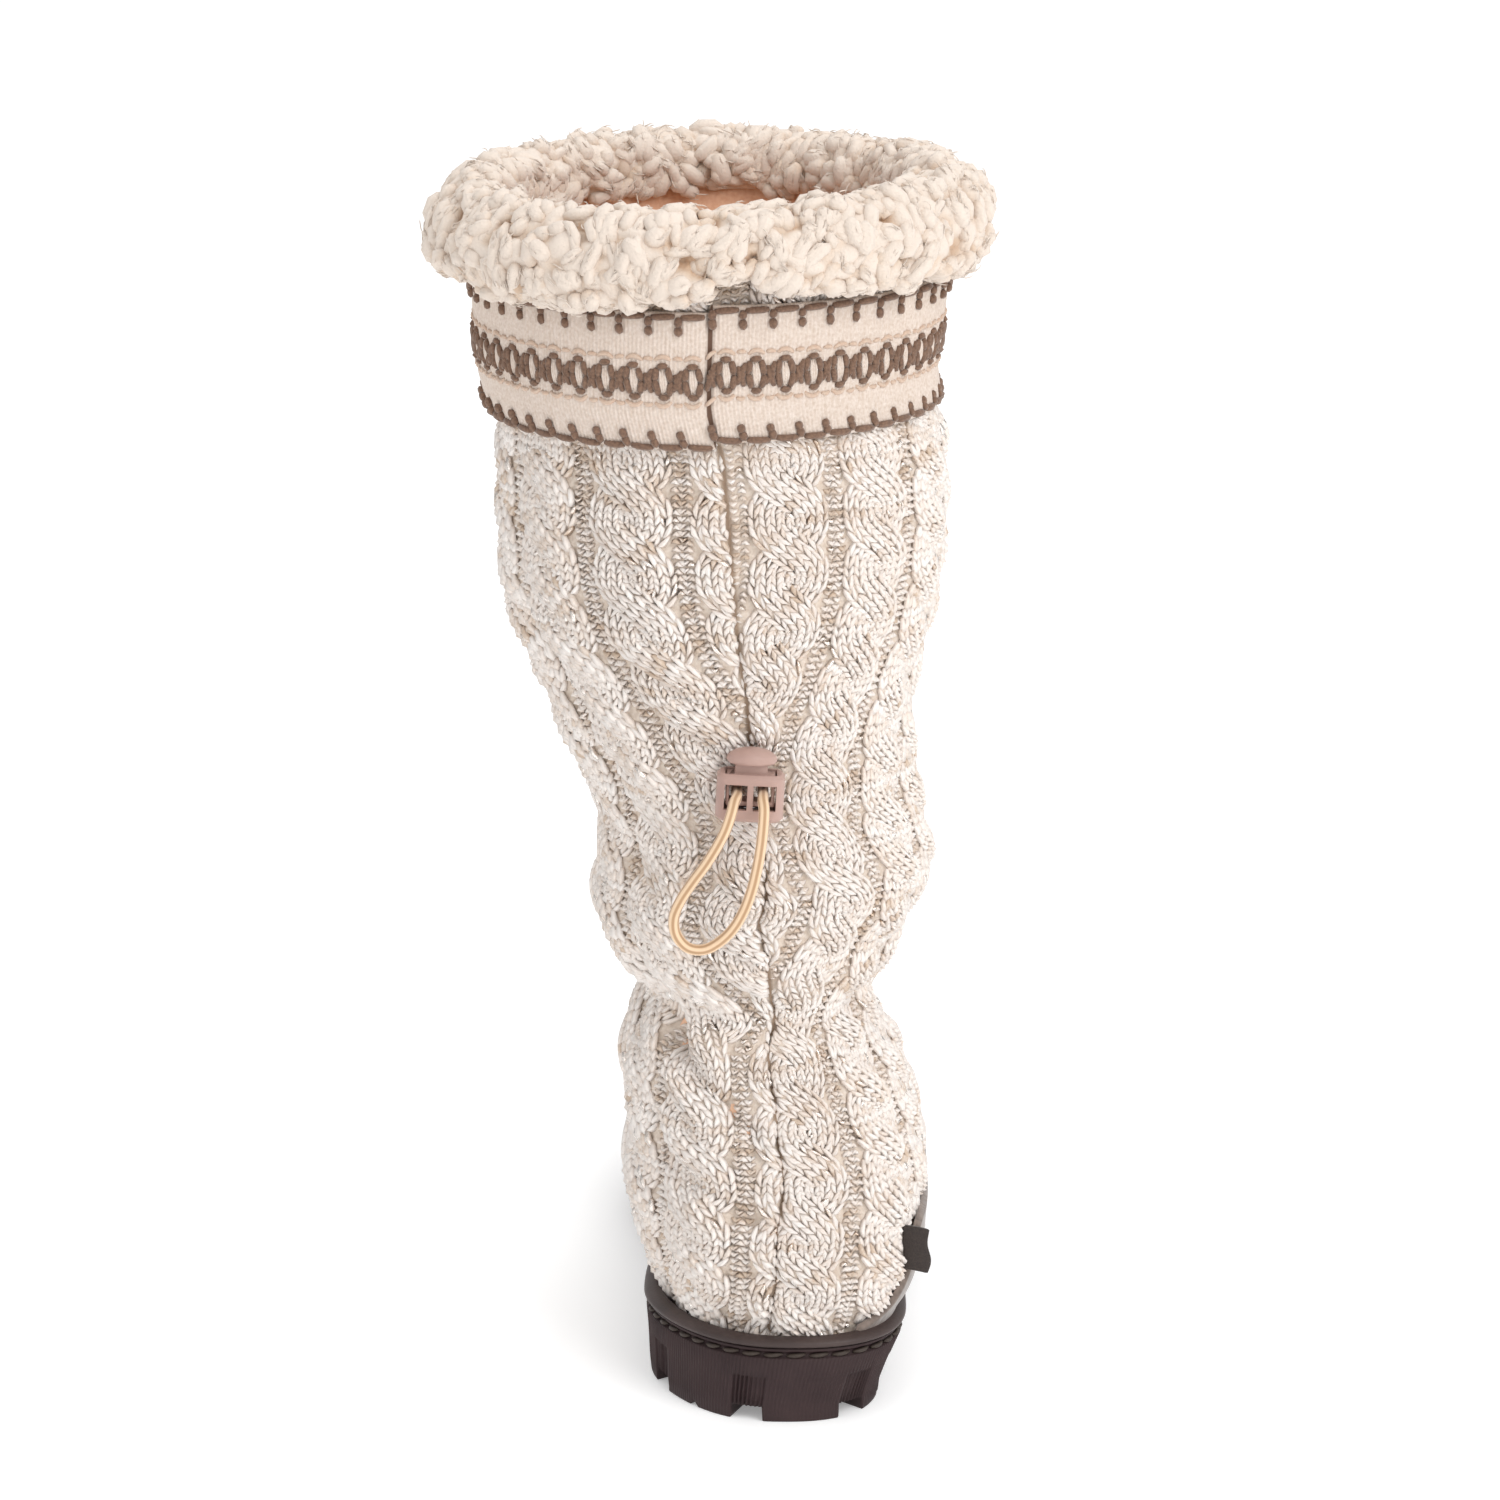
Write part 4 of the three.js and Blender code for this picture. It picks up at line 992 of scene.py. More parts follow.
def make_vamp(material):
    """The suede vamp: the upper's face between the feather edge and the suede's rear edge, as a closed
    shell; at each angle round the foot the edge is where the face climbs through the edge line."""
    levels = np.linspace(0, TOP_LEVEL * 0.55, VAMP_SEARCH[0])[:, None]
    angles = np.linspace(0, TAU, VAMP_SEARCH[1])[None, :]
    face = upper_face(levels, angles)
    line = np.where(np.sin(angles) >= 0, vamp_height(face[..., 1], VAMP_LATERAL),
                    vamp_height(face[..., 1], VAMP_MEDIAL))
    over = face[..., 2] - line
    feather = RAND_TOP - 1.2 + sole_top(face[..., 1]) - SOLE_TOP_HEEL - face[..., 2]
    rows = np.arange(levels.size)[:, None]

    def last_row(signed):
        inside = signed < 0
        top = np.where(inside, rows, -1).max(axis=0)
        safe = np.clip(top, 0, levels.size - 2)
        below, above = signed[safe, np.arange(angles.size)], signed[safe + 1, np.arange(angles.size)]
        share = np.clip(below / np.where(below == above, 1, below - above), 0, 1)
        return np.where(top < 0, -1, safe + share)

    high = last_row(over)
    low = last_row(-feather)
    span = (high > low + 0.5) & (low >= 0)
    chosen = np.flatnonzero(span)
    turned = angles[0, chosen]
    spread = np.interp(np.linspace(0, chosen.size - 1, VAMP_COLUMNS), np.arange(chosen.size), turned)
    per_row = levels[-1, 0] / (levels.size - 1)
    low_at, high_at = (np.interp(spread, turned, row_at[chosen]) * per_row for row_at in (low, high))
    climb = np.linspace(0, 1, VAMP_ROWS)[:, None]
    level = low_at + (high_at - low_at) * climb
    angle = np.broadcast_to(spread, level.shape)
    step = 1e-3
    here = upper_face(level, angle)
    around = upper_face(level, angle + step) - upper_face(level, angle - step)
    upward = upper_face(level + step, angle) - upper_face(np.maximum(level - step, 0), angle)
    normal = unit(np.cross(around, upward))
    edge = (1 - climb) * (high_at - low_at) * 6
    ends = np.minimum(np.arange(VAMP_COLUMNS), np.arange(VAMP_COLUMNS)[::-1])[None, :]
    skin = VAMP_SKIN + VAMP_PROUD * closing(np.minimum(edge, ends * 0.8) / VAMP_EDGE, 2)
    outer = here + normal * skin[..., None]
    inner = here + normal * 0.1
    points = np.concatenate([outer.reshape(-1, 3), inner.reshape(-1, 3)])
    faces = sheet_faces(VAMP_ROWS, VAMP_COLUMNS)
    make_piece("vamp_suede", points, faces, "suede", material, replaced=("vamp",))


# Side wall of the sole: share of its thickness, inset, undercut of the outer side
SOLE_SIDE = [
    (0.0, 1.0, 2.7), (0.25, 0.85, 2.05), (0.52, 0.65, 1.3), (0.56, 0.6, 1.1), (0.88, 0.2, 0.2),
    (0.905, 0.5, 0.2), (0.915, 1.5, 0.2), (1.0, 1.5, 0.0), (1.015, 0.7, 0.0), (1.07, 0.5, 0.0),
]
LUG_BAND = 17.0
NOTCH_WIDTH = 9.0
NOTCH_PITCH = 36.0
NOTCH_LATERAL_START = 19.5
NOTCH_MEDIAL_START = 11.0
RECESS_DEPTH = 0.85
RECESS_TOP_SHARE = 0.54
RIB_TOP_SHARE = 0.9
BAR_PLACES = (28, 50, 132, 152, 172, 192, 212)
BAR_SIZE = (34.0, 8.0)
SOLE_COLUMNS = 2200
NICK_DEPTH = 1.4
NICK_WIDTH = 3.2


def sole_ring(inset, angle, under=0.0):
    """X and Y of the sole's outline drawn in by an inset and undercut on the outer side."""
    inset = np.broadcast_to(inset, np.shape(angle))
    rows = np.broadcast_to(SOLE_ROW, (*np.shape(angle), 9)).copy()
    rows[..., 1] += inset
    rows[..., 2] -= inset
    rows[..., 6] -= inset + under
    rows[..., 5] -= under
    return outline(rows, angle)


def edge_length(angle):
    """Length along the sole's edge from the heel, positive on the outer side, and the whole length."""
    x, y = sole_ring(SOLE_SIDE[0][1], angle, SOLE_SIDE[0][2])
    steps = np.hypot(np.diff(x, append=x[0]), np.diff(y, append=y[0]))
    length = np.concatenate([[0], np.cumsum(steps)[:-1]])
    whole = steps.sum()
    return np.where(length > whole / 2, length - whole, length), whole


def notch_share(length):
    """Signed distance along the edge from the middle of the nearest notch on the same side."""
    middle = (NOTCH_LATERAL_START - NOTCH_MEDIAL_START) / 2
    from_first = np.where(length >= middle,
                          length - NOTCH_LATERAL_START, -length - NOTCH_MEDIAL_START)
    return np.mod(from_first + NOTCH_PITCH / 2, NOTCH_PITCH) - NOTCH_PITCH / 2


def make_sole(values, material):
    """The outsole: its side profile carried round the outline. At each notch the lug's foot is raised to
    the tread's floor and the side over it set back behind fine ridges; strips close top and floor."""
    angle = np.arange(SOLE_COLUMNS) * TAU / SOLE_COLUMNS
    length, _ = edge_length(angle)
    apart = np.abs(notch_share(length))
    notch = 1 - smooth(NOTCH_WIDTH / 2 - 0.25, NOTCH_WIDTH / 2 + 0.25, apart)
    nick = NICK_DEPTH * np.clip(1 - np.abs(apart - NOTCH_PITCH / 2) / NICK_WIDTH * 2, 0, 1)
    ridge = 0.5 + 0.5 * np.cos(TAU * length / (values.ridge_pitch / MM))
    rib = np.cos(TAU * length / (values.rib_pitch / MM))
    recess = RECESS_DEPTH * notch * (1 - 0.75 * ridge)

    foot_inset, foot_under = SOLE_SIDE[0][1:]

    def ring(inset, height, under=foot_under):
        x, y = sole_ring(inset, angle, under)
        return np.stack([x, y, height(y)], axis=-1)

    def lug(rise):
        return lambda y: sole_bottom(y) + np.minimum(rise + LUG_DEPTH * notch + nick, LUG_DEPTH)

    rings = [ring(LUG_BAND + 0.8, lambda y: sole_bottom(y) + LUG_DEPTH),
             ring(LUG_BAND + 0.4, lambda y: sole_bottom(y) + LUG_DEPTH - 0.1),
             ring(LUG_BAND, lug(0.0)), ring(LUG_BAND - 0.6, lug(0.0)),
             ring(foot_inset + 1.2 + recess, lug(0.0)), ring(foot_inset + 0.5 + recess, lug(0.0)),
             ring(foot_inset + 0.25 + recess, lug(0.35))]
    for share, inset, under in SOLE_SIDE:
        inside = recess if share < RECESS_TOP_SHARE else 0.0
        ribbed = values.rib_depth / MM * rib if share < RIB_TOP_SHARE else 0.0
        rings.append(ring(inset + inside + ribbed, lambda y, share=share: (
            sole_bottom(y) + LUG_DEPTH + share * (sole_top(y) - sole_bottom(y) - LUG_DEPTH)), under))
    rings.append(ring(LUG_BAND, lambda y: sole_top(y) - 0.1))
    points = np.stack(rings)
    count = len(rings)
    faces = [grid_faces(count, SOLE_COLUMNS)]
    j = np.arange(1, SOLE_COLUMNS // 2 - 1)
    for row, way in ((0, -1), (count - 1, 1)):
        base = row * SOLE_COLUMNS
        strip = base + np.stack([j, j + 1, SOLE_COLUMNS - j - 1, SOLE_COLUMNS - j], axis=-1)
        ends = base + np.array([[0, 1, SOLE_COLUMNS - 1],
                                [SOLE_COLUMNS // 2, SOLE_COLUMNS // 2 + 1, SOLE_COLUMNS // 2 - 1]])
        faces += [strip[:, ::way], ends[:, ::way]]
    make_piece("outsole_rubber", points.reshape(-1, 3), faces, "sole", material, replaced=("outsole",))
    bars = []
    for y in BAR_PLACES:
        low, high = sole_bottom(np.array(float(y))), LUG_DEPTH + 0.6
        bars.append(rounded_block(np.array([0, y, low + high / 2]), (*BAR_SIZE, high), 0.6))
    join_blocks("outsole_bars", bars, "sole", material)


def rounded_block(centre, size, edge):
    """Points of a block with chamfered edges: four rings of a rounded rectangle, drawn in at both ends."""
    half = np.array(size) / 2
    corner = np.array([(1, 1), (-1, 1), (-1, -1), (1, -1)])
    turn = np.radians((0, 45, 90))
    around = turn + np.arange(4)[:, None] * np.pi / 2
    round_corner = edge * np.stack([np.cos(around), np.sin(around)], axis=-1)
    arc = ((corner * (half[:2] - edge))[:, None] + round_corner).reshape(-1, 2)
    drawn, top = arc * (1 - edge / half[:2]), half[2]
    rings = [(drawn, -top), (arc, -top + edge), (arc, top - edge), (drawn, top)]
    return centre + np.stack([np.column_stack([xy, np.full(len(xy), z)]) for xy, z in rings])


def join_blocks(name, blocks, slot, material, **options):
    """Blocks joined as one piece, each closed by its two end faces."""
    points, faces, ends, base = [], [], [], 0
    for block in blocks:
        rows, columns = block.shape[:2]
        points.append(block.reshape(-1, 3))
        faces.append(base + grid_faces(rows, columns))
        ends.append(base + np.arange(columns)[::-1][None])
        ends.append(base + (rows - 1) * columns + np.arange(columns)[None])
        base += rows * columns
    return make_piece(name, np.concatenate(points), faces + ends, slot, material, **options)


# Section of the rand over the sole's edge: inset, rise
RAND_PROFILE = np.array([
    (4.4, 1.5), (1.6, 1.3), (0.2, 1.5), (-0.4, 2.0), (-0.55, 2.5), (-0.3, 3.1),
    (0.5, 3.6), (1.6, 3.9), (2.8, 4.0), (3.9, 3.6), (4.6, 2.6),
])
RAND_COLUMNS = 480
RAND_ROWS = 24
# Rings of a stitch in the groove: place along it, share of its radius
STITCH_RINGS = np.array([(0.06, 0.6), (0.3, 1.0), (0.5, 1.0), (0.7, 1.0), (0.94, 0.6)])
STITCH_RADIUS = 0.62
STITCH_SIDES = 6
STITCH_LIFT = 0.957


def make_rand(values, material, thread):
    """The rand: a soft-edged ring on the sole's edge, and the stitches in the groove under it."""
    angle = np.arange(RAND_COLUMNS) * TAU / RAND_COLUMNS
    closed = np.concatenate([RAND_PROFILE, RAND_PROFILE[:1]])
    smoothed = through(closed, np.linspace(0, len(RAND_PROFILE), RAND_ROWS + 1)[:-1])
    sections = []
    for inset, rise in smoothed:
        x, y = sole_ring(inset, angle)
        sections.append(np.stack([x, y, sole_top(y) + rise], axis=-1))
    ring_solid("rand_ring", np.stack(sections), "rand", material, replaced=("rand",))

    length, whole = edge_length(angle)
    order = np.argsort(np.mod(length, whole))
    count = int(whole / (values.stitch_pitch / MM))

    def groove(at, inset, lift):
        turned = np.interp(np.mod(at, whole), np.mod(length, whole)[order], angle[order], period=whole)
        x, y = sole_ring(inset, turned)
        bottom = sole_bottom(y) + LUG_DEPTH
        return np.stack([x, y, bottom + (sole_top(y) - bottom) * lift], axis=-1)

    at = np.arange(count) * whole / count
    long = 0.43 * whole / count
    start, end = groove(at - long, 1.3, 0.94), groove(at + long, 1.3, 0.97)
    middle = groove(at, -0.2, STITCH_LIFT)
    up = unit(middle - groove(at, 3.0, STITCH_LIFT))
    points, *faces, _ = spindles(start, middle, end, up, STITCH_RADIUS, *STITCH_RINGS.T, STITCH_SIDES)
    make_piece("welt_stitches", points, faces, "rand", thread)


LABEL_LOW = 39.0
LABEL_HIGH = 51.0
LABEL_FOOT = 13.5
LABEL_REACH = 7.2
LABEL_THICKNESS = 1.1
LABEL_ROWS = 15
LABEL_COLUMNS = 13
LABEL_LEAN = np.array([0.96, -0.24, 0.0])
LABEL_ACROSS = np.array([-0.24, -0.96, 0.0])
LABEL_BEND = np.array([0, -0.9, -0.5])
LABEL_WAVE = np.array([0.4, 0, 0])


def make_label(material):
    """The folded flag label: a bare strip of tape sewn in at the suede's edge, standing out, bent back."""
    heights = np.linspace(LABEL_LOW, LABEL_HIGH, LABEL_ROWS)[:, None]
    out = np.linspace(0, 1, LABEL_COLUMNS)[None, :]
    level = FACE.level_at(heights)
    rows = through(UPPER_ROWS, level)
    turned = np.arccos(1 - 2 * (LABEL_FOOT - rows[..., 1]) / (rows[..., 2] - rows[..., 1]))
    foot = upper_face(level, turned)
    middle = foot + LABEL_LEAN * (out * LABEL_REACH)[..., None] + LABEL_BEND * (out ** 2)[..., None]
    middle = middle + LABEL_WAVE * (np.cos(heights * 0.6) * out)[..., None]
    swell = LABEL_THICKNESS / 2 * (0.75 + 0.35 * np.sin(np.pi * out)) * closing((1 - out) / 0.12, 2)
    swell = swell * np.ones_like(heights)
    front, back = (middle + side * LABEL_ACROSS * swell[..., None] for side in (1, -1))
    points = np.concatenate([front.reshape(-1, 3), back.reshape(-1, 3)])
    faces = sheet_faces(LABEL_ROWS, LABEL_COLUMNS)
    make_piece("flag_label_tape", points, faces, "label", material, replaced=("flag_label",))


# The elastic's route from the knit through the left window, round its loop and back through the right one
CORD_ROUTE = [
    (-10.9, 2.4, 174.8), (-10.9, -3, 174.8), (-10.9, -8.5, 174.8), (-11.6, -12, 174.2),
    (-12.4, -14.6, 171.6), (-13.8, -15.2, 167.6), (-16, -14.4, 163), (-18.8, -12.9, 158),
    (-22, -11, 153), (-25.2, -9.2, 147.6), (-27.2, -7.8, 142.4), (-26.8, -6.8, 137.4),
    (-23.8, -6.2, 133.6), (-19.4, -6.2, 133), (-15.2, -6.8, 135.4), (-11.6, -7.8, 139.4),
    (-8.8, -9.2, 144.8), (-6.8, -10.8, 151), (-5.4, -12.4, 157.6), (-4.5, -13.8, 163.6),
    (-4, -14.6, 168.8), (-3.8, -13.8, 172.6), (-4.1, -11.6, 174.5), (-4.1, -8.5, 174.8),
    (-4.1, -3, 174.8), (-4.1, 2.2, 174.8),
]
CORD_RIDGES = 5
CORD_FURROW = 0.06
CORD_STEPS = 260
CORD_SIDES = 20


def tube(path, radius, sides):
    """A closed tube: a section carried along a path, its frame turned as little as can be at each step."""
    tangent = unit(np.gradient(path, axis=0))
    side = np.empty_like(path)
    held = np.cross(tangent[0], (0.0, 0.0, 1.0))
    for k, ahead in enumerate(tangent):
        held = held - ahead * (held @ ahead)
        held = held / np.linalg.norm(held)
        side[k] = held
    over = np.cross(tangent, side)
    turn = np.arange(sides) * TAU / sides
    spoke = np.cos(turn)[:, None] * side[:, None] + np.sin(turn)[:, None] * over[:, None]
    points = path[:, None] + spoke * radius(turn)[None, :, None]
    rows = len(path)
    ends = [np.arange(sides)[::-1][None], (rows - 1) * sides + np.arange(sides)[None]]
    return points.reshape(-1, 3), [grid_faces(rows, sides)] + ends, np.tile(turn / TAU, rows)


def make_drawcord(values, material):
    """The elastic drawcord: a ridged tube along its route."""
    path = through(CORD_ROUTE, np.linspace(0, len(CORD_ROUTE) - 1, CORD_STEPS))
    thick = values.cord_diameter / MM / 2

    def ridged(turn):
        return thick * (1 - CORD_FURROW + CORD_FURROW * np.cos(CORD_RIDGES * turn))

    points, faces, turned = tube(path, ridged, CORD_SIDES)
    piece = make_piece("drawcord_elastic", points, faces, "elastic", material, replaced=("drawcord",),
                       values={"turn": turned})
    rows = to_row(path)
    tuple(rows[0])


LOCK_EDGE = 0.35
SPRING_RADIUS = 2.3
SPRING_WIRE = 0.3
SPRING_FOOT = -5.2
SPRING_TOP = -2.35
SPRING_TURNS = 3.0
SPRING_STEPS = 90
SPRING_ROOM = 0.4


def soften(node, name, material, body):
    """A copy of a solid with its triangles merged, its flat faces joined and its edges rounded."""
    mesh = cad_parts[node].data.copy()
    piece = bpy.data.objects.new(name, mesh)
    bpy.context.scene.collection.objects.link(piece)
    piece.matrix_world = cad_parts[node].matrix_world.copy()
    bm = bmesh.new()
    bm.from_mesh(mesh)
    bmesh.ops.remove_doubles(bm, verts=bm.verts, dist=1e-6)
    bmesh.ops.dissolve_limit(bm, angle_limit=np.radians(1.0), verts=bm.verts, edges=bm.edges)
    bm.to_mesh(mesh)
    bm.free()
    mesh.materials.clear()
    mesh.materials.append(material)
    mesh.shade_smooth()
    bevel = piece.modifiers.new("soft edges", "BEVEL")
    bevel.width = LOCK_EDGE * MM
    bevel.segments = 3
    bevel.limit_method = "ANGLE"
    bevel.angle_limit = np.radians(35)
    bevel.harden_normals = True
    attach(piece, body)
    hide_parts(node)
    return piece


def make_lock(plastic, steel):
    """The cord lock: barrel and button with rounded edges, and the spring that the button presses."""
    soften("lock_barrel", "lock_barrel_soft", plastic, "boot")
    soften("lock_button", "lock_button_soft", plastic, "lock_button")
    turn = np.linspace(0, SPRING_TURNS * TAU, SPRING_STEPS)
    rise = np.linspace(SPRING_FOOT + SPRING_ROOM, SPRING_TOP - SPRING_ROOM, SPRING_STEPS)
    coil = np.stack([SPRING_RADIUS * np.cos(turn), SPRING_RADIUS * np.sin(turn), rise], axis=-1)
    lean = np.array([[np.cos(LOCK_TILT), 0, np.sin(LOCK_TILT)], [0, 1, 0],
                     [-np.sin(LOCK_TILT), 0, np.cos(LOCK_TILT)]])
    path = coil @ lean.T + LOCK_PLACE
    points, faces, _ = tube(path, lambda around: np.full(around.shape, SPRING_WIRE), 6)
    spring_piece = make_piece("lock_spring", points, faces, "lock", steel)
    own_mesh(spring_piece)


def add_node(material, kind, inputs=(), stops=(), to=(), **settings):
    """One shader node with its settings, its values or links by socket name, a ramp's stops if it has any,
    and the sockets that its outputs feed."""
    tree = material.node_tree
    node = tree.nodes.new(kind)
    for key, value in settings.items():
        setattr(node, key, value)
    for key, value in dict(inputs).items():
        if isinstance(value, bpy.types.NodeSocket):
            tree.links.new(value, node.inputs[key])
        else:
            node.inputs[key].default_value = value
    for index, (place, colour) in enumerate(stops):
        ramp = node.color_ramp.elements
        element = ramp[index] if index < 2 else ramp.new(place)
        element.position = place
        element.color = colour
    for key, socket in dict(to).items():
        tree.links.new(node.outputs[key], socket)
    return node


def per_metre(millimetres):
    """Texture scale whose features are about this many millimetres."""
    return 1 / (millimetres * MM)


def start_material(name, **sockets):
    """A material, its principled shader's sockets with their constants set, and the Object coordinates."""
    material = bpy.data.materials.new(name)
    material.use_nodes = True
    shader = material.node_tree.nodes["Principled BSDF"].inputs
    for key, value in sockets.items():
        shader[key.replace("_", " ")].default_value = value
    return material, shader, add_node(material, "ShaderNodeTexCoord").outputs["Object"]


def wool_yarn(colours):
    """Heather wool yarn with a metallic filament: matt and fuzzy, in streaks of white, cream and tan, and
    painted shade at both ends of each leg.
    """
    material, shader, place = start_material("heather wool yarn", Sheen_Weight=0.1, Sheen_Roughness=0.5)
    tone, along, spark = (add_node(material, "ShaderNodeAttribute", attribute_name=name).outputs["Fac"]
                          for name in ("tone", "along", "spark"))
    fibre = add_node(material, "ShaderNodeTexNoise", {
        "Vector": place, "Scale": per_metre(0.9), "Detail": 3.0})
    mixed = add_node(material, "ShaderNodeMath", {
        0: fibre.outputs["Fac"], 1: 0.5, 2: tone}, operation="MULTIPLY_ADD")
    shifted = add_node(material, "ShaderNodeMath", {0: mixed.outputs[0], 1: 0.25}, operation="SUBTRACT")
    heather = add_node(material, "ShaderNodeValToRGB", {"Fac": shifted.outputs[0]}, stops=(
        (0.05, colours.yarn_tan), (0.22, colours.yarn_beige),
        (0.5, colours.yarn_cream), (0.95, colours.yarn_white)))
    # Painted shade: the yarn's colour is multiplied towards the tip shade at both ends of each leg, where
    # it dives under its neighbour.
    painted_tip_shade = add_node(material, "ShaderNodeValToRGB", {"Fac": along}, stops=(
        (0.0, colours.yarn_tip_shade), (0.22, (1, 1, 1, 1)), (0.78, (1, 1, 1, 1)), (1.0, colours.yarn_tip_shade)))
    add_node(material, "ShaderNodeMix", {
        "Factor": 1.0, 6: heather.outputs["Color"], 7: painted_tip_shade.outputs["Color"]},
        to={2: shader["Base Color"]}, data_type="RGBA", blend_type="MULTIPLY")
    glint = add_node(material, "ShaderNodeMath", {0: spark, 1: 0.965},
                     to={0: shader["Metallic"]}, operation="GREATER_THAN")
    add_node(material, "ShaderNodeMath", {0: glint.outputs[0], 1: -0.63, 2: 0.88},
             to={0: shader["Roughness"]}, operation="MULTIPLY_ADD")
    hair = add_node(material, "ShaderNodeTexNoise", {
        "Vector": place, "Scale": per_metre(0.35), "Detail": 4.0})
    add_node(material, "ShaderNodeBump", {"Height": hair.outputs["Fac"], "Distance": 0.16 * MM},
             to={"Normal": shader["Normal"]})
    return material


def fleece(colours):
    """Curly polyester fleece: matt plump curls, cream where they stand out and painted shade of peach tan
    deep between them.
    """
    material, shader, place = start_material("curly polyester fleece", Roughness=0.95,
                                             Sheen_Weight=0.2, Sheen_Roughness=0.6)
    depth, tone = (add_node(material, "ShaderNodeAttribute", attribute_name=name).outputs["Fac"]
                   for name in ("depth", "tone"))
    fluff = add_node(material, "ShaderNodeTexNoise", {
        "Vector": place, "Scale": per_metre(1.4), "Detail": 5.0})
    # Painted shade: the depth value moves the colour towards the shade deep between the curls.
    mixed = add_node(material, "ShaderNodeMath", {0: tone, 1: 0.22, 2: depth}, operation="MULTIPLY_ADD")
    rough = add_node(material, "ShaderNodeMath", {
        0: fluff.outputs["Fac"], 1: 0.3, 2: mixed.outputs[0]}, operation="MULTIPLY_ADD")
    add_node(material, "ShaderNodeValToRGB", {"Fac": rough.outputs[0]}, stops=(
        (0.1, colours.fleece_painted_shade), (0.5, colours.fleece_mid), (0.95, colours.fleece_tip)),
        to={"Color": shader["Base Color"]})
    strands = add_node(material, "ShaderNodeTexNoise", {
        "Vector": place, "Scale": per_metre(0.6), "Detail": 5.0, "Distortion": 0.8})
    add_node(material, "ShaderNodeBump", {"Height": strands.outputs["Fac"], "Distance": 0.35 * MM},
             to={"Normal": shader["Normal"]})
    return material


def plain_cloth(name, dark, light, grain_mm, relief_mm, roughness, sheen, seam=None):
    """Cloth or nap of one colour: matt, mottled between two shades at the size of its grain, with painted
    shadow of a third shade along a seam where one is given, by the cleft value at its points."""
    material, shader, place = start_material(name, Roughness=roughness, Sheen_Weight=sheen,
                                             Sheen_Roughness=0.5)
    grain = add_node(material, "ShaderNodeTexNoise", {
        "Vector": place, "Scale": per_metre(grain_mm), "Detail": 5.0})
    shade = add_node(material, "ShaderNodeValToRGB", {"Fac": grain.outputs["Fac"]},
                     stops=((0.3, dark), (0.72, light)), to={"Color": shader["Base Color"]})
    # Painted shadow along a seam: the third shade mixed in by the cleft value.
    if seam is not None:
        cleft = add_node(material, "ShaderNodeAttribute", attribute_name="cleft")
        add_node(material, "ShaderNodeMix", {
            "Factor": cleft.outputs["Fac"], 6: shade.outputs["Color"], 7: seam},
            to={2: shader["Base Color"]}, data_type="RGBA")
    add_node(material, "ShaderNodeBump", {"Height": grain.outputs["Fac"], "Distance": relief_mm * MM},
             to={"Normal": shader["Normal"]})
    return material


def moulded(name, dark, light, roughness, grain_mm, relief_mm):
    """Moulded rubber or plastic: even in colour with faint clouding, a fine tooth and the mould's gloss."""
    material, shader, place = start_material(name, Specular_IOR_Level=0.3)
    cloud = add_node(material, "ShaderNodeTexNoise", {
        "Vector": place, "Scale": per_metre(14.0), "Detail": 4.0})
    add_node(material, "ShaderNodeValToRGB", {"Fac": cloud.outputs["Fac"]},
             stops=((0.3, dark), (0.7, light)), to={"Color": shader["Base Color"]})
    add_node(material, "ShaderNodeMapRange", {
        "Value": cloud.outputs["Fac"], "To Min": roughness - 0.06, "To Max": roughness + 0.06},
        to={"Result": shader["Roughness"]})
    tooth = add_node(material, "ShaderNodeTexNoise", {
        "Vector": place, "Scale": per_metre(grain_mm), "Detail": 3.0})
    add_node(material, "ShaderNodeBump", {"Height": tooth.outputs["Fac"], "Distance": relief_mm * MM},
             to={"Normal": shader["Normal"]})
    return material


def braided_elastic(colours):
    """Braided elastic cord: satin ridges along it, lighter on the ridges and painted shade of tan in the
    furrows.
    """
    material, shader, place = start_material("braided elastic", Roughness=0.6, Sheen_Weight=0.2)
    turn = add_node(material, "ShaderNodeAttribute", attribute_name="turn")
    angle = add_node(material, "ShaderNodeMath", {
        0: turn.outputs["Fac"], 1: TAU * CORD_RIDGES}, operation="MULTIPLY")
    wave = add_node(material, "ShaderNodeMath", {0: angle.outputs[0]}, operation="COSINE")
    share = add_node(material, "ShaderNodeMath", {
        0: wave.outputs[0], 1: 0.5, 2: 0.5}, operation="MULTIPLY_ADD")
    # Painted shade: the colour turns tan towards each furrow between the ridges.
    add_node(material, "ShaderNodeValToRGB", {"Fac": share.outputs[0]}, stops=(
        (0.1, colours.cord_furrow_shade), (0.8, colours.cord_ridge)), to={"Color": shader["Base Color"]})
    braid = add_node(material, "ShaderNodeTexNoise", {
        "Vector": place, "Scale": per_metre(0.5), "Detail": 3.0})
    add_node(material, "ShaderNodeBump", {"Height": braid.outputs["Fac"], "Distance": 0.12 * MM},
             to={"Normal": shader["Normal"]})
    return material


def spring_steel(colours):
    """Drawn steel wire: bright metal with faint draw marks."""
    material, shader, place = start_material("spring steel", Metallic=1.0, Base_Color=colours.steel)
    marks = add_node(material, "ShaderNodeTexNoise", {"Vector": place, "Scale": per_metre(0.4)})
    add_node(material, "ShaderNodeMapRange", {"Value": marks.outputs["Fac"], "To Min": 0.22, "To Max": 0.4},
             to={"Result": shader["Roughness"]})
    return material


def length_of(name, description, millimetres):
    """A length property whose default is given in millimetres."""
    return bpy.props.FloatProperty(name=name, description=description, default=millimetres * MM,
                                   unit="LENGTH", precision=5, min=0)


def share_of(name, description, share):
    """A share property, up to a half."""
    return bpy.props.FloatProperty(name=name, description=description, default=share, min=0.1, max=0.5)


def count_of(name, description, number):
    """A whole number property."""
    return bpy.props.IntProperty(name=name, description=description, default=number, min=1)


def colour_of(name, description, hex_colour):
    """A colour property whose default is an sRGB hex value."""
    return bpy.props.FloatVectorProperty(name=name, description=description, default=linear(hex_colour),
                                         size=4, subtype="COLOR", min=0, max=1)


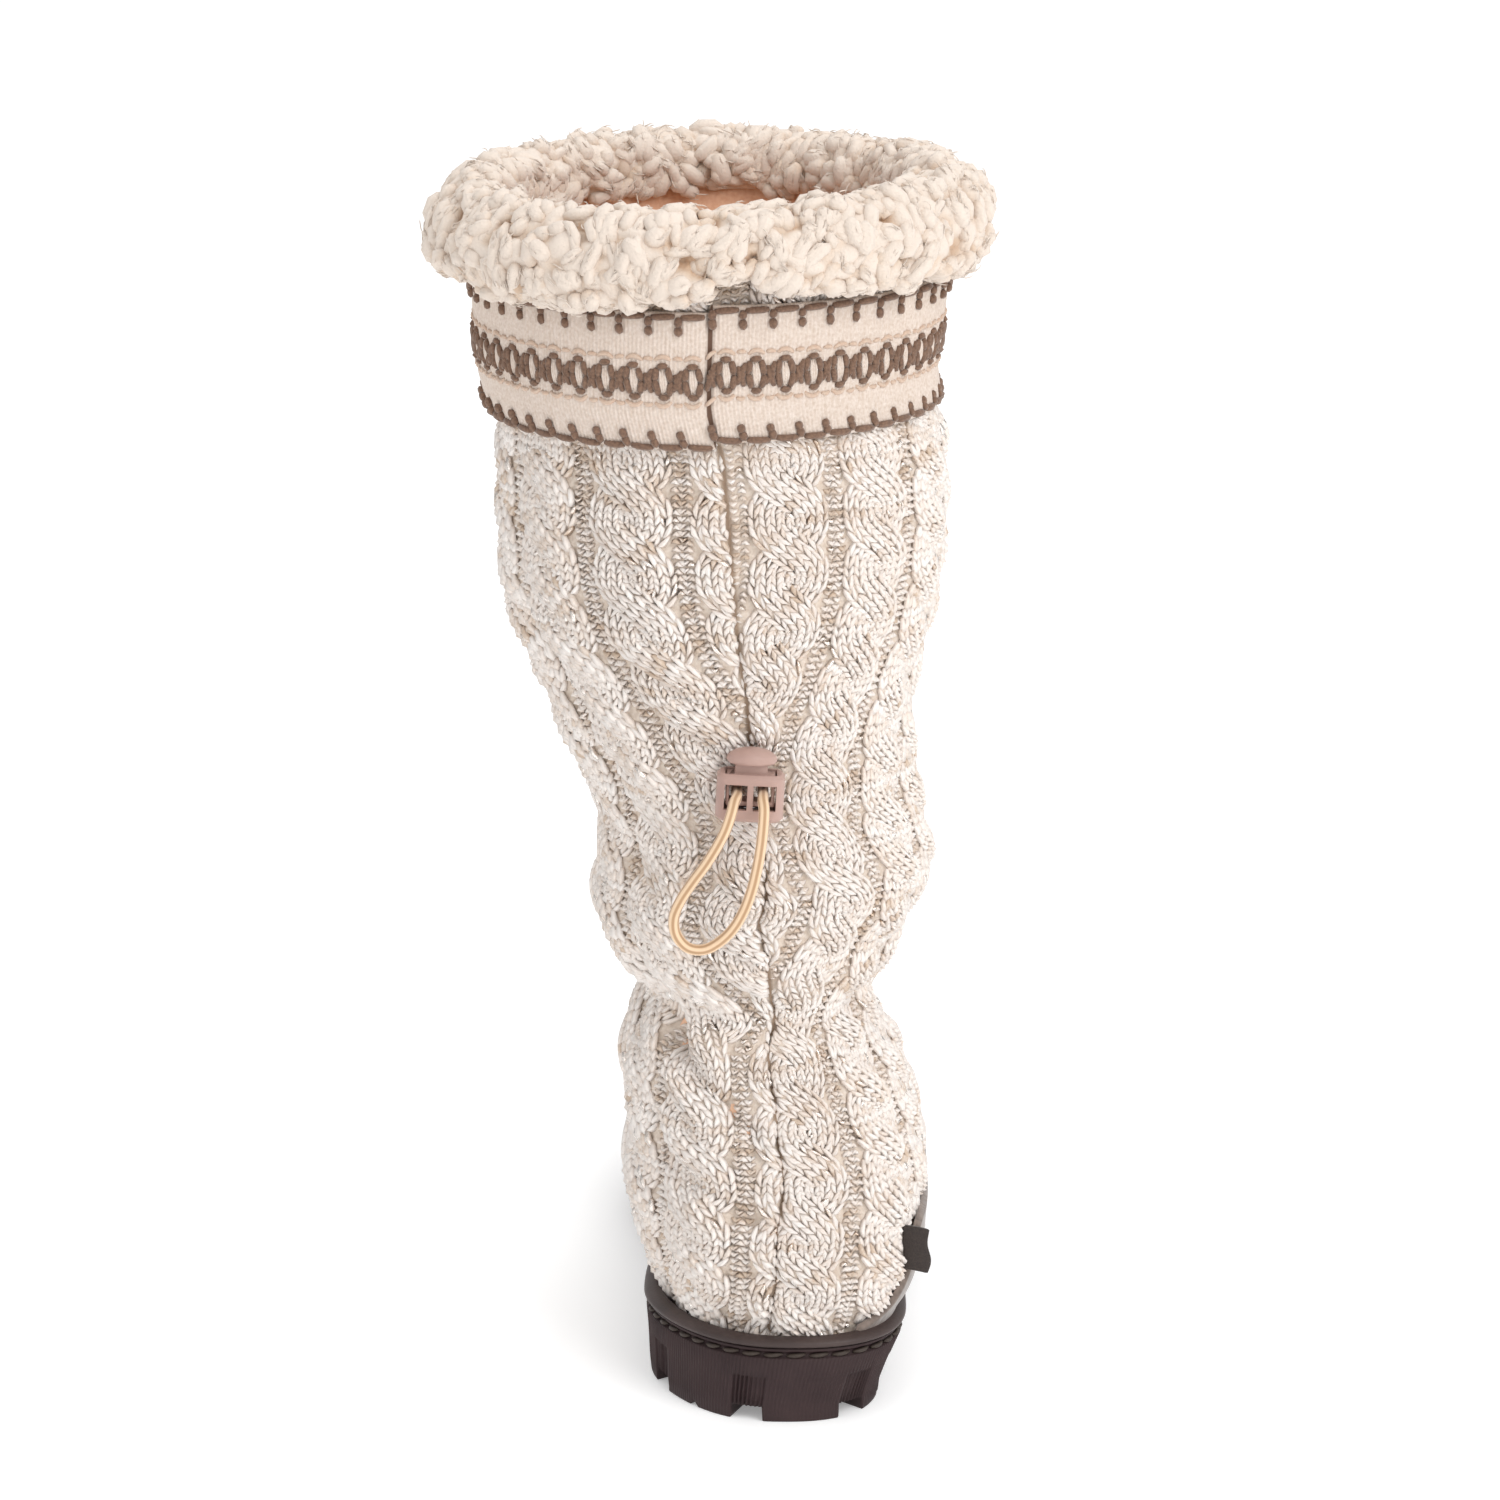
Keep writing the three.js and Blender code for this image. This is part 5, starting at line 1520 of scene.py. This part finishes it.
class KnitBootSizes(bpy.types.PropertyGroup):
    """Sizes that a user would change."""

    row_height: length_of("Row height", "Height of one knitted row", 1.95)
    crossing_rows: count_of("Crossing rows", "Rows between two crossings of a cable", 8)
    furrow_depth: length_of("Furrow depth", "How far the purl furrows lie under the upper's face", 2.1)
    strand_height: length_of("Strand height", "Height of a cable strand over the furrows", 2.0)
    crossing_swell: length_of("Crossing swell", "Extra height of the strand that crosses over", 0.9)
    yarn_share: share_of("Yarn share", "Yarn radius as a share of a column's width", 0.4)
    purl_share: share_of("Purl share", "Purl bump's radius as a share of a column's width", 0.34)
    curl_count: count_of("Curls", "Number of plump locks on the collar", 1900)
    curl_length: length_of("Curl length", "Length of a lock", 7.2)
    curl_width: length_of("Curl width", "Width of a lock", 4.3)
    wisp_count: count_of("Wisps", "Number of fine wisps along the locks", 3500)
    rib_pitch: length_of("Rib pitch", "Distance between ribs of the woven band and of the sole", 1.05)
    rib_depth: length_of("Sole rib depth", "Depth of the fine ribs on the sole's side", 0.12)
    ridge_pitch: length_of("Ridge pitch", "Distance between the ridges over a lug notch", 1.2)
    band_pitch: length_of("Band pitch", "Length of one repeat of the band's pattern", 7.4)
    stitch_pitch: length_of("Stitch pitch", "Length of one stitch under the rand", 5.6)
    cord_diameter: length_of("Cord diameter", "Thickness of the elastic drawcord", 3.0)


class KnitBootColours(bpy.types.PropertyGroup):
    """Colours that a user would change."""

    yarn_white: colour_of("Yarn white", "Lightest streaks of the yarn", "#F5EFEA")
    yarn_cream: colour_of("Yarn cream", "Main colour of the yarn", "#F1E8E1")
    yarn_beige: colour_of("Yarn beige", "Middle streaks of the yarn", "#E9DCD1")
    yarn_tan: colour_of("Yarn tan", "Darkest streaks of the yarn", "#D0BBA7")
    # Painted shade at both ends of each yarn leg
    yarn_tip_shade: colour_of("Yarn gap", "Shade where yarn dives under its neighbour", "#F0E8E1")
    # Ground colours are darker than the yarn's: painted shade between the stitches
    ground_dark: colour_of("Ground dark", "Deepest shade between stitches", "#C9B8A8")
    ground_light: colour_of("Ground light", "Lighter shade between stitches", "#E2D6CA")
    # Painted shadow along the back seam
    seam_painted_shadow: colour_of("Seam shade", "Deep in the back seam", "#98826F")
    fleece_tip: colour_of("Fleece tip", "Fleece where it stands out", "#E1D3C6")
    fleece_mid: colour_of("Fleece middle", "Fleece between tip and base", "#D7C1AC")
    # Painted shade deep between the curls
    fleece_painted_shade: colour_of("Fleece deep", "Fleece deep between the curls", "#BE9774")
    band_cream: colour_of("Band cream", "Ground of the woven band", "#DCCFC5")
    band_shade: colour_of("Band shade", "Furrows of the woven band", "#C6B4A5")
    band_brown: colour_of("Band brown", "Brown yarn of the band", "#866854")
    # Darkest brown of the band's yarn, and painted shadow in the band's seam
    band_dark_and_seam_shadow: colour_of("Band dark", "Darkest brown of the band", "#62493A")
    band_tan: colour_of("Band tan", "Faint arcs of the band", "#CFBBA9")
    band_rose: colour_of("Band rose", "Darker side of the faint arcs", "#C3A590")
    lining_light: colour_of("Lining light", "Lining where it catches the light", "#FAD2B4")
    lining_dark: colour_of("Lining dark", "Lining in its nap", "#E9B896")
    suede_light: colour_of("Suede light", "Brushed side of the suede", "#85776E")
    suede_dark: colour_of("Suede dark", "Dark side of the suede's nap", "#62564F")
    rand_light: colour_of("Rand light", "Rand where it is polished", "#4E413E")
    rand_dark: colour_of("Rand dark", "Rand in its grain", "#3B302E")
    rubber_light: colour_of("Rubber light", "Outsole's lighter clouding", "#3C2C2C")
    rubber_dark: colour_of("Rubber dark", "Outsole's darker clouding", "#2F2021")
    thread_light: colour_of("Thread light", "Stitches under the rand", "#3D302A")
    thread_dark: colour_of("Thread dark", "Stitches' furrows", "#33291F")
    lock_light: colour_of("Lock light", "Cord lock's plastic", "#B79A90")
    lock_dark: colour_of("Lock dark", "Cord lock's faint clouding", "#AA8B81")
    cord_ridge: colour_of("Cord ridge", "Ridges of the elastic", "#E6C8A6")
    # Painted shade in the elastic's furrows
    cord_furrow_shade: colour_of("Cord furrow", "Furrows of the elastic", "#B28D69")
    label_light: colour_of("Label light", "Label's woven face", "#3B302B")
    label_dark: colour_of("Label dark", "Label's furrows", "#241C19")
    steel: colour_of("Steel", "Spring of the cord lock", "#B9B9BC")
    floor: colour_of("Floor", "Studio floor", "#F7F7F7")


CAMERA_PLACE = np.array([-7.5, -1875.6, 687.6])
CAMERA_AIM = (0.0, 0.9659, -0.2588)
CAMERA_LENS = 180.0
FLOOR_REACH = 6.0
# Area lights: name, place, aim, side, power
LIGHTS = (
    ("key", (1.25, -1.6, 1.6), (0.0, -0.06, 0.16), 1.4, 28.5),
    ("fill", (-1.7, -1.3, 0.9), (0.0, -0.06, 0.16), 1.6, 3.0),
    ("top", (0.1, 0.5, 1.9), (0.0, -0.06, 0.2), 1.6, 12.0),
)
WORLD_LIGHT = 0.75
FLOOR_GLOW = 0.25


class KNITBOOT_OT_stage(bpy.types.Operator):
    """Camera at the photograph's angle, pale floor, soft lights"""

    bl_idname = "knitboot.stage"
    bl_label = "Stage"

    def execute(self, context):
        scene = context.scene
        camera = bpy.data.cameras.new("camera")
        camera.lens = CAMERA_LENS
        camera.sensor_width = 36
        camera.clip_end = 50
        holder = bpy.data.objects.new("camera", camera)
        holder.location = to_row(CAMERA_PLACE)
        holder.rotation_euler = Vector(CAMERA_AIM).to_track_quat("-Z", "Y").to_euler()
        scene.collection.objects.link(holder)
        scene.camera = holder

        mesh = bpy.data.meshes.new("floor")
        corners = [(x * FLOOR_REACH, y * FLOOR_REACH, 0) for x, y in ((-1, -1), (1, -1), (1, 1), (-1, 1))]
        mesh.from_pydata(corners, [], [(0, 1, 2, 3)])
        material, *_ = start_material(
            "matt studio floor", Base_Color=scene.knit_boot_colours.floor, Roughness=0.9,
            Specular_IOR_Level=0.1, Emission_Color=(1, 1, 1, 1), Emission_Strength=FLOOR_GLOW)
        mesh.materials.append(material)
        floor = bpy.data.objects.new("floor", mesh)
        scene.collection.objects.link(floor)

        for name, place, aim, side, power in LIGHTS:
            lamp = bpy.data.lights.new(name, "AREA")
            lamp.energy = power
            lamp.size = side
            light = bpy.data.objects.new(name, lamp)
            light.location = place
            light.rotation_euler = (Vector(aim) - Vector(place)).to_track_quat("-Z", "Y").to_euler()
            scene.collection.objects.link(light)
        world = bpy.data.worlds.new("studio")
        world.use_nodes = True
        sky = world.node_tree.nodes["Background"].inputs
        sky["Color"].default_value = (1, 1, 1, 1)
        sky["Strength"].default_value = WORLD_LIGHT
        scene.world = world
        scene.view_settings.view_transform = "Standard"
        return {"FINISHED"}


class KNITBOOT_OT_drawcord(bpy.types.Operator):
    """Elastic drawcord with its loop below the lock"""

    bl_idname = "knitboot.drawcord"
    bl_label = "Drawcord"

    def execute(self, context):
        make_drawcord(context.scene.knit_boot_sizes, braided_elastic(context.scene.knit_boot_colours))
        return {"FINISHED"}


class KNITBOOT_OT_lock(bpy.types.Operator):
    """Cord lock: barrel, button and spring"""

    bl_idname = "knitboot.lock"
    bl_label = "Cord lock"

    def execute(self, context):
        colours = context.scene.knit_boot_colours
        plastic = moulded("moulded acetal", colours.lock_dark, colours.lock_light, 0.42, 0.5, 0.02)
        make_lock(plastic, spring_steel(colours))
        return {"FINISHED"}


class KNITBOOT_OT_knit(bpy.types.Operator):
    """Cable knit shaft with its ground and lining"""

    bl_idname = "knitboot.knit"
    bl_label = "Knit"

    def execute(self, context):
        colours = context.scene.knit_boot_colours
        # The ground's colours are painted shade between the stitches; its third shade is painted shadow
        # along the back seam.
        ground = plain_cloth("wool ground", colours.ground_dark, colours.ground_light,
                             1.2, 0.4, 0.95, 0.0, colours.seam_painted_shadow)
        make_knit(context.scene.knit_boot_sizes, wool_yarn(colours), ground)
        make_lining(plain_cloth("brushed tricot lining", colours.lining_dark, colours.lining_light,
                                1.2, 0.15, 0.9, 0.4))
        return {"FINISHED"}


class KNITBOOT_OT_cuff(bpy.types.Operator):
    """Fleece collar"""

    bl_idname = "knitboot.cuff"
    bl_label = "Fleece collar"

    def execute(self, context):
        make_cuff(context.scene.knit_boot_sizes, fleece(context.scene.knit_boot_colours))
        return {"FINISHED"}


class KNITBOOT_OT_band(bpy.types.Operator):
    """Woven band with its raised pattern"""

    bl_idname = "knitboot.band"
    bl_label = "Woven band"

    def execute(self, context):
        colours = context.scene.knit_boot_colours
        # The tape's third shade is painted shadow in its seam.
        cream = plain_cloth("ribbed cotton tape", colours.band_shade, colours.band_cream,
                            0.8, 0.1, 0.9, 0.2, colours.band_dark_and_seam_shadow)
        brown = plain_cloth("brown cotton yarn", colours.band_dark_and_seam_shadow, colours.band_brown,
                            0.7, 0.15, 0.85, 0.2)
        faint = plain_cloth("tan cotton yarn", colours.band_rose, colours.band_tan, 0.7, 0.12, 0.88, 0.2)
        make_band(context.scene.knit_boot_sizes, cream, brown, faint)
        return {"FINISHED"}


class KNITBOOT_OT_vamp(bpy.types.Operator):
    """Suede vamp and flag label"""

    bl_idname = "knitboot.vamp"
    bl_label = "Suede vamp"

    def execute(self, context):
        colours = context.scene.knit_boot_colours
        make_vamp(plain_cloth("split suede", colours.suede_dark, colours.suede_light, 2.2, 0.3, 0.95, 0.5))
        make_label(plain_cloth("damask label tape", colours.label_dark, colours.label_light,
                               0.4, 0.1, 0.7, 0.1))
        return {"FINISHED"}


class KNITBOOT_OT_sole(bpy.types.Operator):
    """Lugged outsole, rand, stitches and insole"""

    bl_idname = "knitboot.sole"
    bl_label = "Sole"

    def execute(self, context):
        colours, sizes = context.scene.knit_boot_colours, context.scene.knit_boot_sizes
        rubber = moulded("moulded rubber", colours.rubber_dark, colours.rubber_light, 0.62, 0.5, 0.05)
        coated = moulded("coated rand", colours.rand_dark, colours.rand_light, 0.48, 0.7, 0.06)
        thread = plain_cloth("waxed thread", colours.thread_dark, colours.thread_light, 0.5, 0.15, 0.6, 0.0)
        make_sole(sizes, rubber)
        make_rand(sizes, coated, thread)
        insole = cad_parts["insole"]
        insole.data.materials.clear()
        insole.data.materials.append(
            plain_cloth("felt insole", colours.lining_dark, colours.lining_light, 1.6, 0.3, 0.95, 0.4))
        return {"FINISHED"}


BUILD_ORDER = (KNITBOOT_OT_stage, KNITBOOT_OT_drawcord, KNITBOOT_OT_lock, KNITBOOT_OT_knit,
               KNITBOOT_OT_cuff, KNITBOOT_OT_band, KNITBOOT_OT_vamp, KNITBOOT_OT_sole)


class KNITBOOT_PT_panel(bpy.types.Panel):
    """Lists the pieces and their values in the sidebar"""

    bl_idname = "KNITBOOT_PT_panel"
    bl_label = "Knit Boot"
    bl_space_type = "VIEW_3D"
    bl_region_type = "UI"
    bl_category = "Knit Boot"

    def draw(self, context):
        for operator in BUILD_ORDER:
            self.layout.operator(operator.bl_idname)
        for group in (context.scene.knit_boot_sizes, context.scene.knit_boot_colours):
            box = self.layout.box()
            for name in group.__annotations__:
                box.prop(group, name)


CLASSES = (KnitBootSizes, KnitBootColours, *BUILD_ORDER, KNITBOOT_PT_panel)


def register():
    for cls in CLASSES:
        bpy.utils.register_class(cls)
    bpy.types.Scene.knit_boot_sizes = bpy.props.PointerProperty(type=KnitBootSizes)
    bpy.types.Scene.knit_boot_colours = bpy.props.PointerProperty(type=KnitBootColours)


def unregister():
    del bpy.types.Scene.knit_boot_colours
    del bpy.types.Scene.knit_boot_sizes
    for cls in reversed(CLASSES):
        bpy.utils.unregister_class(cls)


def main():
    register()
    bpy.ops.knitboot.stage()
    bpy.ops.knitboot.drawcord()
    bpy.ops.knitboot.lock()
    bpy.ops.knitboot.knit()
    bpy.ops.knitboot.cuff()
    bpy.ops.knitboot.band()
    bpy.ops.knitboot.vamp()
    bpy.ops.knitboot.sole()


if __name__ == "__main__":
    main()
